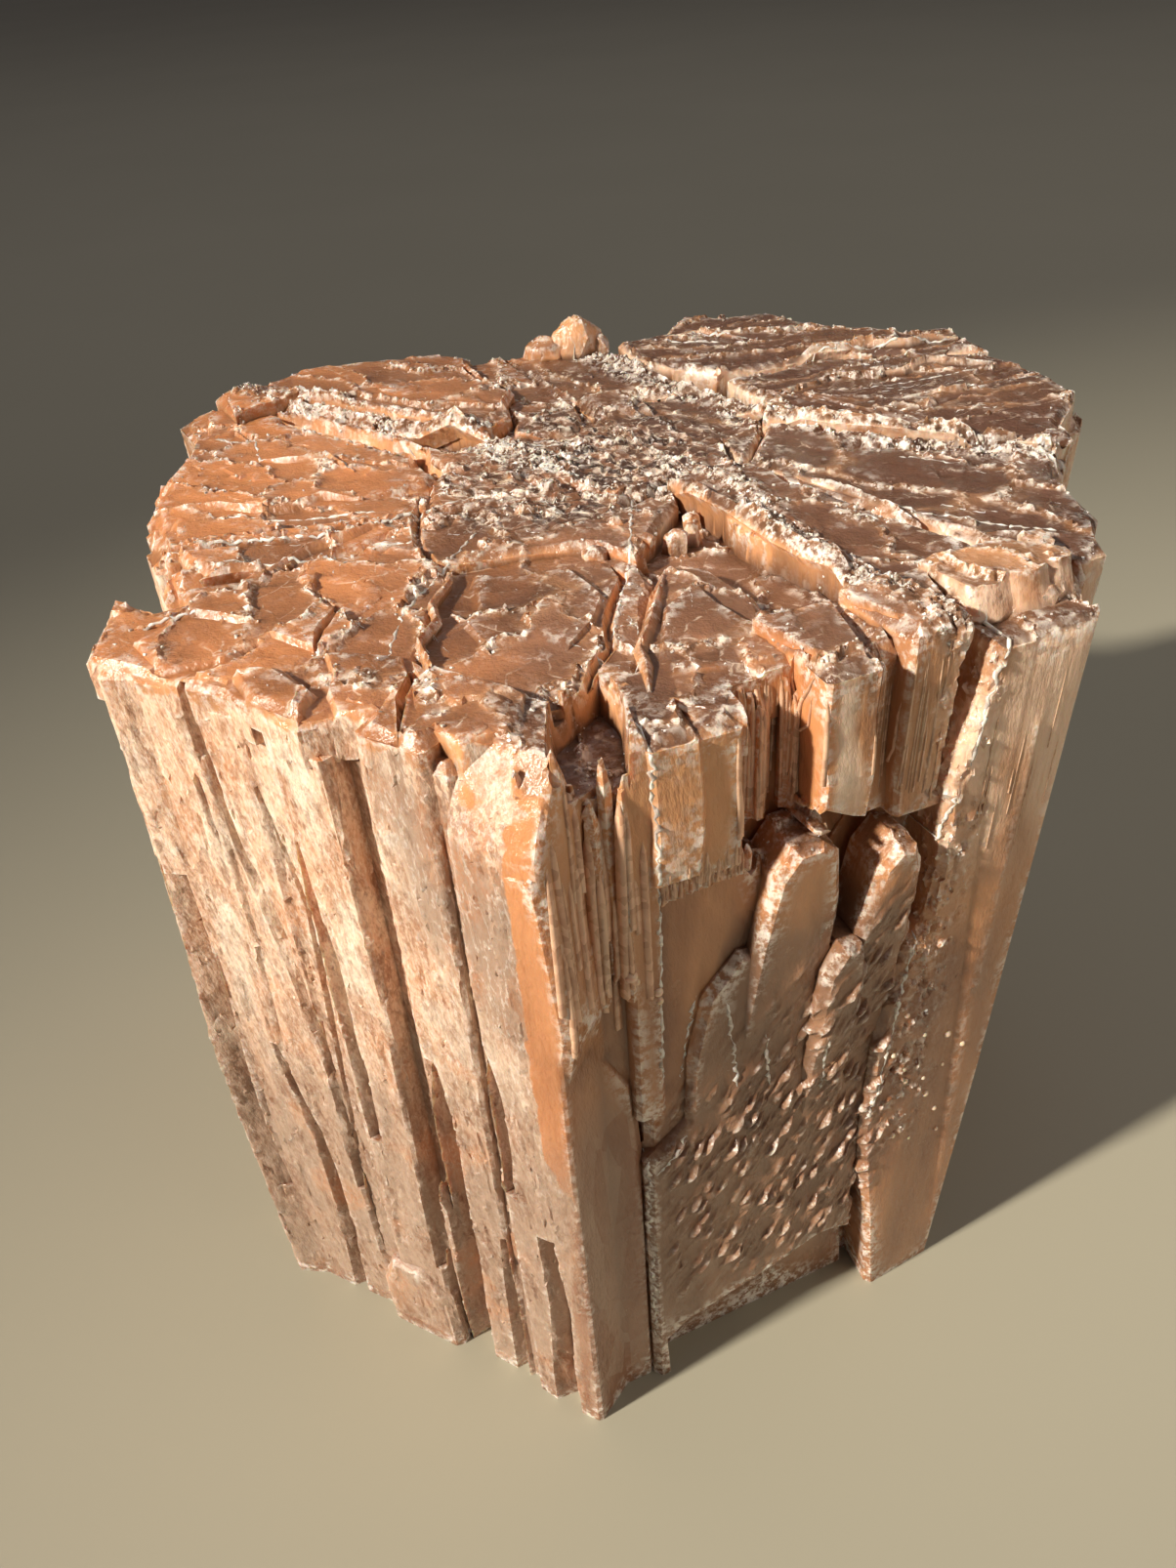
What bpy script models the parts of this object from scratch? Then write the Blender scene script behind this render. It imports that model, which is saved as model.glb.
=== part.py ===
"""A stubby aragonite crystal: a six-sided twin of many upright laths, grown together as one solid.

Every drawn size is in millimetres, and the finished mesh is turned to metres at the end. +X is to
the right, +Y away from the front corner, +Z up along the growth axis. The origin lies in the flat
cut base, under the middle of the plan.
"""

import math
import random

import bmesh
import bpy
from mathutils import Matrix, Vector, noise

# ---------------------------------------------------------------- driving dimensions, millimetres
MM = 0.001
HEIGHT = 30.0            # cut base to the general level of the top
CORE_INSET = 1.5         # the solid heart stands back this far behind the drawn outline
LATH_DEPTH = 3.0         # how far a lath reaches in behind the outline
LATH_FLARE = 0.35        # a lath widens inwards, so that neighbours cross and bond
LATH_EDGE = 0.13         # dulled upright edges of a lath
RIM_BEVEL = 0.35         # dulled upper rim
FOOT = -2.0              # pieces start below the base plane, and are cut off flat at zero
WANDER = 0.10            # how far a lath's flanks stray from upright along its height
PLATE_FOOT = 28.2        # top plates are rooted at this level, inside the heart
PLATE_EDGE = 0.22
TAPER = 0.055            # the right flank draws in by this much per millimetre downwards
BULGE = 0.55             # the left corner swells by this around the given level
BULGE_LEVEL = 11.0
BULGE_REACH = 11.0
STIR = 0.004             # parts points that would otherwise only just touch
SEED = 7
MOST_TRIANGLES = 9700
SOLVER = "MANIFOLD"      # the exact solver leaves open edges where so many laths cross

# ---------------------------------------------------------------- fine growth, millimetres
WOBBLE = 0.55            # how far the borders of the top plates stray, and how quickly they turn
WOBBLE_RATE = 0.75
WOBBLE_PITCH = 1.3       # longest straight piece of such a border
GRAINS = 40              # blunt crystal tips around the middle of the top
GRAIN_CENTRE = (-1.6, -1.2)
GRAIN_REACH = (5.4, 4.8)
GRAIN_RADIUS = (0.22, 0.5)
GRAIN_RISE = (0.10, 0.34)
RECESS_FIBRES = 11       # the fibres at the back of the amber recess
RECESS_START, RECESS_END = 6.0, 8.4
RECESS_DEPTH = 1.25
FRINGE = 12              # small prisms hanging under the overhang by the recess
FRINGE_START, FRINGE_PITCH = 3.4, 0.26
FRINGE_LEVEL = (24.2, 25.3)

# ---------------------------------------------------------------- plan of the rim, millimetres
LEFT = (-15.0, -9.3)
FRONT = (-2.8, -16.2)
RIGHT = (12.7, -9.7)
RIGHT_HIP = (14.1, -4.6)
RIGHT_DENT = (14.0, -1.8)
RIGHT_SHOULDER = (16.4, 4.2)
BACK_RIGHT = (16.3, 7.0)
BACK_RIGHT_HIP = (14.2, 11.9)
BACK_DENT = (8.6, 14.2)
BACK = (7.0, 16.7)
BACK_END = (2.9, 16.5)
BACK_ANGLE = (1.6, 13.9)
BACK_LEFT_HIP = (-11.8, 13.9)
BACK_LEFT = (-16.4, 10.5)
LEFT_SHOULDER = (-16.3, 0.6)
LEFT_ANGLE = (-13.3, -5.4)
LEFT_TAB = (-15.0, -6.1)
OUTLINE = (
    LEFT, FRONT, RIGHT, RIGHT_HIP, RIGHT_DENT, RIGHT_SHOULDER, BACK_RIGHT, BACK_RIGHT_HIP, BACK_DENT,
    BACK, BACK_END, BACK_ANGLE, BACK_LEFT_HIP, BACK_LEFT, LEFT_SHOULDER, LEFT_ANGLE, LEFT_TAB,
)

rng = random.Random(SEED)


# ---------------------------------------------------------------- closed shapes from sections
def loft(sections):
    """Vertices and faces of a closed body through sections of equal point count, lowest first."""
    count = len(sections[0])
    verts = [p for section in sections for p in section]
    faces = [tuple(reversed(range(count)))]
    for level in range(len(sections) - 1):
        low = level * count
        for i in range(count):
            j = (i + 1) % count
            faces.append((low + i, low + j, low + count + j, low + count + i))
    last = (len(sections) - 1) * count
    faces.append(tuple(range(last, last + count)))
    return verts, faces


def piece(collection, verts, faces):
    """One closed piece, faces turned outwards and flat-faced."""
    mesh = bpy.data.meshes.new("piece")
    bm = bmesh.new()
    points = [bm.verts.new(v) for v in verts]
    for face in faces:
        bm.faces.new([points[i] for i in face])
    bmesh.ops.triangulate(bm, faces=bm.faces[:])
    bmesh.ops.recalc_face_normals(bm, faces=bm.faces[:])
    bm.to_mesh(mesh)
    bm.free()
    made = bpy.data.objects.new("piece", mesh)
    made.hide_render = True
    made.display_type = "WIRE"
    collection.objects.link(made)
    return made


def group(name):
    made = bpy.data.collections.new(name)
    bpy.context.scene.collection.children.link(made)
    return made


def inset(outline, distance):
    """The outline moved inwards by distance, mitred at its corners; the outline runs anticlockwise."""
    points = [Vector(p) for p in outline]
    moved = []
    for i, point in enumerate(points):
        before = (point - points[i - 1]).normalized()
        after = (points[(i + 1) % len(points)] - point).normalized()
        inward = Vector((-before.y - after.y, before.x + after.x)).normalized()
        spread = max(0.45, inward.dot(Vector((-after.y, after.x))))
        moved.append(tuple(point + inward * (distance / spread)))
    return moved


# ---------------------------------------------------------------- upright faces and what grows on them
class Face:
    """An upright side: s runs along it from the left seen from outside, t stands out of it."""

    def __init__(self, start, end):
        self.start = Vector(start)
        along = Vector(end) - self.start
        self.length = along.length
        self.along = along.normalized()
        self.out = Vector((self.along.y, -self.along.x))

    def at(self, s, t, z):
        point = self.start + self.along * s + self.out * t
        return (point.x, point.y, z)


def lath(collection, face, s0, s1, t, top, foot=FOOT, edge=LATH_EDGE, depth=LATH_DEPTH):
    """An upright lath from s0 to s1, standing t out of its face."""
    edge = min(edge, (s1 - s0) * 0.3)
    low, high = foot, top - RIM_BEVEL
    levels = [low, low + (high - low) * 0.35, low + (high - low) * 0.7, high]
    sections = []
    for n, z in enumerate(levels):
        stray = 0.0 if n == 3 else rng.uniform(-WANDER, WANDER)
        swell = 0.0 if n == 3 else rng.uniform(-WANDER, WANDER)
        left = s0 + stray
        right = s1 + stray
        out = t + swell
        sections.append([
            face.at(left - LATH_FLARE, -depth, z),
            face.at(left, out - edge, z),
            face.at(left + edge, out, z),
            face.at(right - edge, out, z),
            face.at(right, out - edge, z),
            face.at(right + LATH_FLARE, -depth, z),
        ])
    draw = min(RIM_BEVEL, (s1 - s0) * 0.25)
    lean = rng.uniform(-0.12, 0.12)
    middle = (s0 + s1) / 2
    half = (s1 - s0) / 2 - draw
    sections.append([
        face.at(s0 - LATH_FLARE, -depth, top),
        face.at(middle - half, t - edge - draw, top - lean),
        face.at(middle - half + edge * 0.5, t - draw, top - lean),
        face.at(middle + half - edge * 0.5, t - draw, top + lean),
        face.at(middle + half, t - edge - draw, top + lean),
        face.at(s1 + LATH_FLARE, -depth, top),
    ])
    return piece(collection, *loft(sections))


def slab(collection, face, outline, t, sink=0.0, depth=1.8, dull=0.25):
    """A flat growth of the (s, z) outline on a face, standing t out of it, with dulled edges.

    Its lower end stands out less by sink, so that it can die away into the face below it.
    """
    outline = anticlockwise(list(outline))
    shrunk = inset(outline, dull)
    lowest = min(z for _, z in outline)
    span = max(z for _, z in outline) - lowest

    def out(z):
        return t - sink * (1.0 - (z - lowest) / span)

    back = [face.at(s, t - depth, z) for s, z in outline]
    brow = [face.at(s, out(z) - dull, z) for s, z in outline]
    front = [face.at(s, out(z), z) for s, z in shrunk]
    return piece(collection, *loft([back, brow, front]))


def channel(collection, face, path, proud=1.2):
    """A V-shaped cutter down a face; path lists (s, z, width, depth) from the top downwards."""
    sections = []
    for s, z, width, depth in path:
        flare = proud / max(depth, 0.1)
        sections.append([
            face.at(s - width / 2 * (1 + flare), proud, z),
            face.at(s, -depth, z),
            face.at(s + width / 2 * (1 + flare), proud, z),
        ])
    return piece(collection, *loft(sections))


def needle(collection, face, s, t, radius, top, foot, point=0.9):
    """A thin five-sided fibre on a face, drawn to a point at its top."""
    turn = rng.uniform(0, math.tau)
    sections = []
    for z, share in ((foot, 1.0), ((foot + top) / 2, 1.1), (top - point, 0.9), (top, 0.12)):
        ring = []
        for k in range(5):
            angle = turn + k * math.tau / 5
            reach = radius * share
            ring.append(face.at(s + reach * math.cos(angle), t + reach * math.sin(angle), z))
        sections.append(ring)
    return piece(collection, *loft(sections))


# ---------------------------------------------------------------- the upper surface
def anticlockwise(outline):
    area = sum(a[0] * b[1] - b[0] * a[1] for a, b in zip(outline, outline[1:] + outline[:1]))
    return outline if area > 0 else outline[::-1]


def strayed(x, y):
    """A point of a plate border where it really runs. Plates that share a border stray together."""
    drift = Vector((x, y, 0.0)) * WOBBLE_RATE
    aside = drift + Vector((0.0, 0.0, 5.0))
    return (x + WOBBLE * noise.noise(drift), y + WOBBLE * noise.noise(aside))


def broken_up(points, counts):
    """The line through the points, each piece cut into its count of parts, and let stray."""
    made = []
    for (ax, ay), (bx, by), count in zip(points, points[1:], counts):
        for k in range(count):
            share = k / count
            made.append(strayed(ax + (bx - ax) * share, ay + (by - ay) * share))
    return made


def part_counts(points):
    return [max(1, round(math.dist(a, b) / WOBBLE_PITCH)) for a, b in zip(points, points[1:])]


def plate(collection, outline, level, tilt=(0.0, 0.0)):
    """A flat-topped plate of the upper surface, its edges dulled, rooted deep in the heart."""
    drawn = anticlockwise(list(outline))
    drawn_in = inset(drawn, PLATE_EDGE)
    counts = part_counts(drawn + drawn[:1])
    wide = broken_up(drawn + drawn[:1], counts)
    dulled = broken_up(drawn_in + drawn_in[:1], counts)
    centre = Vector((sum(x for x, _ in wide), sum(y for _, y in wide))) / len(wide)

    def lift(x, y):
        return level + tilt[0] * (x - centre.x) + tilt[1] * (y - centre.y)

    root = [(x, y, PLATE_FOOT) for x, y in wide]
    brow = [(x, y, lift(x, y) - PLATE_EDGE) for x, y in wide]
    top = [(x, y, lift(x, y)) for x, y in dulled]
    return piece(collection, *loft([root, brow, top]))


def bar(collection, path, width, rise, root, taper=0.3):
    """A ridge, or with root below rise a gully cutter, of diamond section along (x, y, z) points."""
    points = [Vector(p) for p in path]
    sections = []
    for i, point in enumerate(points):
        ahead = points[min(i + 1, len(points) - 1)] - points[max(i - 1, 0)]
        side = Vector((-ahead.y, ahead.x, 0)).normalized()
        share = taper if i in (0, len(points) - 1) else 1.0
        half = side * (width * share / 2)
        sections.append([
            tuple(point - half),
            tuple(point + Vector((0, 0, -root * share))),
            tuple(point + half),
            tuple(point + Vector((0, 0, rise * share))),
        ])
    return piece(collection, *loft(sections))


def grain(collection, x, y, z, radius, rise):
    """A small blunt crystal tip standing up from the upper surface, leaning a little."""
    turn = rng.uniform(0, math.tau)
    lean = (rng.uniform(-0.2, 0.2), rng.uniform(-0.2, 0.2))
    sections = []
    for lift, share in ((-0.8, 1.1), (rise * 0.35, 1.0), (rise, 0.35)):
        ring = []
        for k in range(5):
            angle = turn + k * math.tau / 5
            ring.append((
                x + radius * share * math.cos(angle) + lean[0] * lift,
                y + radius * share * math.sin(angle) * 0.7 + lean[1] * lift,
                z + lift,
            ))
        sections.append(ring)
    return piece(collection, *loft(sections))


# Level, tilt and plan of each plate. Neighbours step up or down to one another along radial lines.
PLATES = {
    "left front": (29.6, (0.0, 0.01), (
        (-15.3, -6.2), (-13.0, -6.4), (-11.5, -4.4), (-8.0, -3.6), (-5.4, -4.6), (-5.6, -9.0),
        (-6.0, -13.3), (-8.6, -13.1), (-12.4, -11.0), (-15.2, -9.4))),
    "left front flake": (29.76, (0.01, 0.0), (
        (-13.3, -5.6), (-11.6, -5.1), (-10.4, -5.6), (-9.3, -5.0), (-8.9, -7.2), (-7.5, -8.6),
        (-8.6, -9.9), (-9.9, -9.3), (-11.0, -9.8), (-12.9, -10.4), (-14.0, -8.8), (-13.1, -7.4))),
    "rim flake": (29.85, (0.0, 0.03), (
        (-10.8, -11.2), (-9.3, -10.9), (-8.5, -12.0), (-8.6, -13.0), (-9.8, -12.3))),
    "rim flake by the block": (29.8, (0.0, 0.02), (
        (-8.4, -10.1), (-6.1, -10.3), (-6.3, -12.9), (-7.4, -13.3), (-7.9, -12.2))),
    "front block": (29.95, (0.0, 0.02), (
        (-5.7, -12.3), (-4.2, -11.8), (-2.5, -12.9), (-2.6, -14.7), (-4.2, -15.0), (-5.6, -14.0))),
    "front hollow": (29.42, (0.0, 0.0), (
        (-5.8, -12.6), (-5.6, -5.0), (-2.0, -4.0), (0.7, -5.0), (0.5, -9.0), (0.3, -12.6), (-2.4, -13.0))),
    "front middle flake": (29.6, (0.0, 0.02), (
        (-4.6, -5.2), (-3.2, -5.9), (-1.6, -5.2), (-0.6, -6.8), (-0.7, -8.9), (-1.9, -10.4),
        (-2.6, -9.6), (-3.9, -10.2), (-4.9, -8.8), (-4.3, -7.4))),
    "front right": (29.6, (0.0, 0.01), (
        (0.2, -13.2), (0.4, -9.0), (0.8, -6.2), (2.4, -5.6), (3.8, -8.6), (6.6, -12.0), (6.2, -12.6),
        (3.0, -13.8))),
    "front right flake": (29.76, (0.02, 0.02), (
        (0.7, -12.1), (0.9, -8.4), (2.0, -7.2), (3.4, -9.2), (4.9, -12.0))),
    "ledge": (30.2, (0.0, 0.02), (
        (1.8, -0.8), (3.0, -2.8), (4.4, -5.6), (6.6, -8.6), (8.3, -11.0), (9.0, -9.0), (10.3, -6.6),
        (8.0, -4.6), (5.4, -1.6), (4.0, 0.4))),
    "right front": (30.15, (0.0, 0.02), (
        (8.6, -9.6), (9.2, -10.2), (12.4, -9.0), (12.7, -8.2), (10.4, -6.2))),
    "right": (30.1, (0.02, 0.0), (
        (4.2, 0.6), (5.6, -1.6), (8.2, -4.4), (9.9, -5.0), (10.4, -6.4), (12.6, -8.2), (13.5, -7.4),
        (14.2, -4.8), (13.9, -1.8), (14.5, -0.2), (12.6, 0.9), (9.2, 2.3), (5.4, 4.0))),
    "right shoulder": (30.4, (0.0, 0.02), (
        (5.2, 4.2), (9.2, 2.3), (12.6, 0.8), (14.6, -0.4), (16.2, 4.2), (16.1, 6.6), (13.0, 5.4),
        (10.4, 4.6), (7.0, 6.2), (5.6, 6.0))),
    "back right": (30.2, (0.0, 0.0), (
        (5.6, 6.0), (8.0, 5.6), (10.4, 4.6), (13.0, 5.4), (16.1, 6.8), (15.5, 8.6), (14.6, 10.2),
        (11.0, 10.2), (8.0, 10.6), (4.6, 8.8))),
    "back right rim": (30.45, (0.0, 0.02), (
        (4.2, 9.0), (8.0, 10.6), (14.8, 10.2), (13.9, 11.8), (10.4, 13.4), (8.5, 14.2), (6.9, 16.4),
        (5.6, 15.9), (3.1, 16.2), (2.2, 14.2), (0.2, 13.5), (1.4, 10.6))),
    "back": (29.9, (0.0, 0.02), (
        (0.4, 13.7), (1.4, 10.6), (3.0, 8.4), (0.0, 8.2), (-3.6, 8.4), (-5.9, 11.6), (-6.2, 13.7))),
    "back left": (30.35, (0.0, -0.01), (
        (-15.9, 10.6), (-13.6, 10.0), (-10.5, 8.3), (-7.4, 6.4), (-5.0, 4.6), (-3.9, 6.0),
        (-3.8, 8.2), (-5.9, 11.6), (-5.9, 13.7), (-11.7, 13.7), (-13.0, 12.6), (-15.4, 11.1))),
    "left": (29.75, (0.0, 0.01), (
        (-16.2, 10.2), (-13.4, 9.8), (-8.0, 5.8), (-5.6, 3.4), (-6.6, 1.2), (-9.0, 0.2), (-16.1, 0.4))),
    "left by the angle": (29.7, (0.0, 0.02), (
        (-16.0, 0.5), (-9.0, 0.3), (-6.4, 0.4), (-6.2, -1.6), (-9.4, -4.0), (-13.0, -4.9), (-14.4, -2.6))),
    "middle": (29.8, (0.0, 0.0), (
        (-6.4, 3.6), (-4.4, 4.8), (-3.8, 8.0), (3.0, 8.4), (5.4, 5.2), (4.2, 1.0), (2.2, -0.6),
        (0.6, -5.0), (-2.0, -4.4), (-5.4, -4.8), (-8.6, -3.8), (-6.4, -1.6))),
    "middle flake left": (30.05, (0.0, 0.03), (
        (-3.8, 4.9), (-1.7, 4.7), (-1.2, 6.0), (-1.8, 8.0), (-3.4, 8.2), (-3.9, 7.2))),
    "middle flake right": (30.05, (0.0, 0.02), (
        (-1.6, 7.6), (-0.6, 6.2), (1.3, 6.4), (0.9, 7.8), (-0.3, 8.3))),
}

# Ridges of the upper surface: width, rise above the plates under them, and the run in plan.
RIDGES = (
    (0.9, 0.40, ((-15.8, 10.5), (-13.6, 9.8), (-10.5, 8.1), (-7.4, 6.2), (-4.8, 4.5))),
    (0.5, 0.25, ((-16.0, 0.3), (-12.4, -0.2), (-8.9, 0.2))),
    (0.5, 0.25, ((-13.2, -5.1), (-11.1, -4.4), (-7.6, -1.6))),
    (0.9, 0.35, ((-0.8, 13.2), (1.2, 10.7), (3.4, 7.8), (5.4, 4.6))),
    (0.6, 0.25, ((5.2, 4.4), (9.2, 2.5), (12.6, 1.0), (14.4, -0.1))),
    (0.5, 0.30, ((4.3, 9.1), (7.9, 10.7), (13.8, 11.2))),
    (0.4, 0.25, ((9.6, 8.4), (12.2, 9.0), (14.9, 8.1))),
    (0.4, 0.25, ((9.6, 4.7), (12.4, 5.2), (15.9, 6.5))),
    (0.7, 0.25, ((2.0, -0.9), (3.3, -2.9), (4.7, -5.8), (6.7, -8.5), (8.2, -10.5))),
    (0.4, 0.25, ((1.0, -6.3), (0.5, -9.5), (0.3, -12.8))),
    (0.4, 0.20, ((6.0, -1.0), (7.8, -3.4), (9.6, -5.1), (11.2, -6.1), (13.2, -6.6))),
    (0.3, 0.20, ((-9.2, 2.4), (-10.4, 3.9), (-12.0, 3.8), (-13.4, 4.2))),
    (0.3, 0.20, ((-13.8, 6.0), (-14.8, 7.0), (-15.8, 6.8))),
    (0.4, 0.25, ((-6.0, 12.4), (-4.8, 9.8), (-4.0, 8.0), (-4.3, 5.6))),
    (0.3, 0.20, ((-5.4, -11.0), (-5.6, -7.4), (-5.2, -4.8))),
    (0.3, 0.20, ((-14.2, -8.0), (-12.4, -7.6), (-10.2, -8.2))),
    (0.3, 0.20, ((2.4, 14.0), (3.6, 14.2), (5.8, 12.8))),
)

# Gullies of the upper surface: width, depth below the plates, and the run in plan.
GULLIES = (
    (0.9, 0.9, ((-13.6, 8.8), (-11.4, 7.5), (-9.4, 5.9), (-7.6, 4.4), (-6.2, 1.8))),
    (0.5, 0.5, ((9.0, -4.2), (10.0, -6.2), (11.4, -7.4), (13.3, -8.6))),
    (0.5, 0.35, ((3.6, 3.4), (4.0, 1.8), (4.2, 0.2))),
    (0.5, 0.5, ((-0.3, -4.8), (-0.2, -7.6), (-0.7, -10.0), (-1.2, -13.6))),
    (0.9, 0.4, ((-3.6, 0.9), (-1.6, 0.2), (0.6, -0.8), (1.8, -1.4))),
    (0.4, 0.3, ((-5.7, -5.0), (-6.6, -2.8), (-6.9, 0.2))),
    (0.3, 0.25, ((-8.8, -9.9), (-8.6, -7.8), (-9.3, -5.4))),
    (0.35, 0.4, ((-5.9, -14.4), (-5.8, -12.6), (-6.2, -10.4))),
)

# ---------------------------------------------------------------- the two front faces, left to right
front_left = Face(LEFT, FRONT)
front_right = Face(FRONT, RIGHT)

# Laths of the left front face: start, end, stand-out, top.
FRONT_LEFT_LATHS = (
    (-0.3, 1.6, 0.00, 29.2),
    (1.4, 3.4, 0.12, 29.5),
    (3.2, 5.1, 0.02, 29.1),
    (4.9, 6.0, -0.10, 28.9),
    (5.9, 8.1, 0.26, 28.8),
    (7.9, 9.6, -0.62, 29.8),
    (9.2, 11.4, 0.05, 29.9),
    (11.1, 12.0, -0.14, 29.2),
)

# Channels of the left front face: runs of s, z, width, depth.
FRONT_LEFT_CHANNELS = (
    (
        (3.3, 29.5, 0.24, 0.33), (3.6, 24.0, 0.4, 0.39), (4.3, 20.5, 0.56, 0.45), (5, 16.0, 0.4, 0.26),
        (5.3, 12.0, 0.16, 0.13),
    ),
    (
        (5.9, 28.8, 0.32, 0.45), (6.1, 24.0, 0.4, 0.59), (6.3, 20.5, 0.48, 0.45), (6.5, 15.5, 0.4, 0.26),
        (6.6, 12.0, 0.16, 0.13),
    ),
    (
        (5, 26.5, 0.16, 0.2), (5.6, 22.0, 0.4, 0.39), (5.5, 18.0, 0.48, 0.39), (5.4, 13.0, 0.4, 0.33),
        (5, 8.0, 0.16, 0.2),
    ),
    (
        (9.1, 17.5, 1.0, 0.7), (9.7, 13.5, 0.7, 0.9), (9.6, 9.0, 0.7, 1.0), (9.3, 5.0, 0.9, 1.0),
        (8.9, -2.0, 1.3, 1.1),
    ),
    ((11.6, 20.0, 0.16, 0.2), (12.1, 18.0, 0.32, 0.45), (12.2, 15.0, 0.32, 0.45), (12.1, 12.5, 0.16, 0.13)),
    ((8.3, 11.2, 0.24, 0.2), (8.2, 8.0, 0.4, 0.39), (8, 5.0, 0.24, 0.2)),
    ((2.9, 15.0, 0.24, 0.13), (3.8, 10.0, 0.4, 0.33), (3.6, 5.0, 0.56, 0.33), (3.2, -1.0, 0.64, 0.39)),
    ((0.9, 22.0, 0.24, 0.07), (1.2, 17.0, 0.4, 0.16), (1, 11.0, 0.4, 0.16), (1.3, 6.0, 0.24, 0.07)),
    ((11.2, 9.0, 0.16, 0.13), (11.1, 6.0, 0.4, 0.33), (11, 2.0, 0.48, 0.39), (11, -1.0, 0.56, 0.39)),
    ((13.3, 11.0, 0.16, 0.13), (13.5, 7.0, 0.32, 0.26), (13.2, 2.0, 0.48, 0.33), (13.3, -1.0, 0.56, 0.33)),
)

# Flat growths of the front faces: stand-out, how far the foot sinks back, and the (s, z) outline.
FRONT_LEFT_SLABS = (
    (0.35, 0.3, ((8.6, -2), (8.4, 3.0), (8.6, 8.0), (9.0, 11.0), (9.5, 8.0), (9.5, 3.0), (9.3, -2))),
    (0.45, 0.0, ((5.2, -2), (5.0, 2.5), (5.6, 4.2), (7.0, 4.4), (8.2, 3.2), (8.5, -2))),
    (0.25, 0.5, ((0.2, 11.0), (0.0, 18.0), (0.4, 24.0), (1.0, 26.5), (1.5, 22.0), (1.3, 13.0))),
    (0.32, 0.5, ((2.2, 15.0), (2.3, 24.0), (2.9, 27.0), (3.2, 22.0), (3.1, 16.0))),
    (0.15, 0.5, ((9.8, 19.0), (10.2, 25.0), (11.0, 27.5), (11.4, 22.0), (11.2, 18.0))),
    (0.42, 0.3, ((13.4, 14.0), (12.6, 18.5), (12.4, 24.0), (12.9, 27.0), (14.6, 27.0), (15.0, 21.0),
                 (14.4, 17.6))),
)

FRONT_RIGHT_SLABS = (
    # the smooth reddish side of the front corner, from the foot up to the needles
    (-0.30, 0.0, ((0.1, -2), (0.1, 18.0), (0.6, 19.5), (1.5, 19.5), (2.7, 17.0), (2.9, 12.0), (2.9, -2))),
    # the smooth face under the overhang
    (-0.35, 0.0, ((2.9, 12.0), (3.3, 24.4), (5.0, 24.8), (6.9, 24.2), (7.2, 19.0), (5.0, 12.0))),
    # the broad dark face
    (0.00, 0.0, ((2.8, -2), (2.75, 13.2), (4.3, 14.6), (4.4, 17.4), (4.9, 19.9), (6.0, 21.2), (8.4, 21.0),
                 (10.2, 19.0), (11.6, 19.4), (11.9, 12.0), (11.6, 7.0), (12.6, -2))),
    # three thumb-shaped lobes, which die away downwards
    (0.50, 0.8, ((5.6, 14.0), (6.4, 21.4), (6.8, 24.0), (7.4, 24.9), (8.3, 24.9), (8.9, 24.3), (9.2, 22.4),
                 (9.3, 17.0), (9.0, 12.0))),
    (0.70, 0.9, ((9.7, 12.5), (9.9, 20.6), (10.3, 23.2), (10.9, 23.9), (11.5, 23.7), (11.9, 22.8),
                 (12.0, 20.0), (11.4, 12.0))),
    (0.85, 1.0, ((8.3, 11.0), (8.7, 19.6), (9.2, 20.7), (9.9, 20.6), (10.3, 19.4), (10.4, 11.5))),
    # the right hand column and its waist
    (0.35, 0.0, ((13.4, 29.6), (13.3, 28.2), (12.5, 25.2), (12.8, 22.0), (12.6, 20.0), (11.9, 19.4),
                 (11.3, 14.8), (11.3, 10.0), (11.9, 7.0), (12.4, 4.0), (13.2, -2), (16.7, -2),
                 (16.9, 10.0), (16.9, 29.6))),
)

# Laths of the upper right front face: start, end, stand-out, top, foot.
FRONT_RIGHT_LATHS = (
    (1.4, 2.7, -0.45, 28.4, 15.0),
    (2.6, 3.55, -0.05, 29.7, 15.5),
    (3.35, 4.8, 0.10, 29.6, 25.0),
    (4.6, 6.0, 0.02, 29.5, 24.7),
    (8.2, 9.9, 0.25, 30.2, 25.0),
    (9.9, 10.9, -0.55, 29.9, 24.6),
    (10.9, 12.9, 0.00, 30.4, 24.4),
)

# Fibres of the front corner's cleft and of the amber recess: s, stand-out, radius, top, foot.
NEEDLES = (
    (0.20, -0.55, 0.26, 29.6, 19.0), (0.62, -0.70, 0.22, 28.6, 20.0), (1.08, -0.35, 0.30, 29.9, 19.5),
    (1.50, -0.55, 0.20, 28.9, 20.0), (1.85, -0.30, 0.24, 28.3, 21.0), (2.30, -0.35, 0.20, 29.4, 22.0),
    (2.62, -0.10, 0.18, 28.6, 21.0),
)

# Sloping blocks at the top of the right hand column: start, end, stand-out.
RIGHT_BLOCKS = ((13.5, 14.9, 0.15), (14.7, 16.0, 0.30), (15.8, 16.9, 0.10))

# Deep pits and undercuts of the right front face: inner and outer stand-out, then (s, z) outline.
HOLLOWS = (
    (-1.3, 2.0, ((6.0, 25.4), (8.3, 25.6), (8.3, 33.0), (6.0, 33.0))),
    (-2.4, 2.0, ((5.9, 24.5), (6.1, 25.8), (6.7, 26.2), (7.1, 25.4), (6.9, 24.3), (6.4, 23.7))),
    (-1.6, 2.0, ((7.6, 25.2), (8.3, 26.0), (9.3, 25.4), (10.3, 25.0), (10.6, 24.0), (9.8, 22.6), (9.2, 22.8),
                 (9.1, 24.4), (8.4, 25.1))),
    (-1.5, 2.0, ((12.2, 24.6), (12.4, 29.0), (13.0, 30.9), (13.5, 30.6), (13.2, 28.0), (12.5, 24.6))),
    (-1.1, 3.0, ((3.3, -3.0), (3.2, 2.4), (4.2, 3.2), (8.0, 4.5), (10.2, 5.1), (11.9, 4.6), (12.7, 3.2),
                 (12.9, -3.0))),
)


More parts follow.
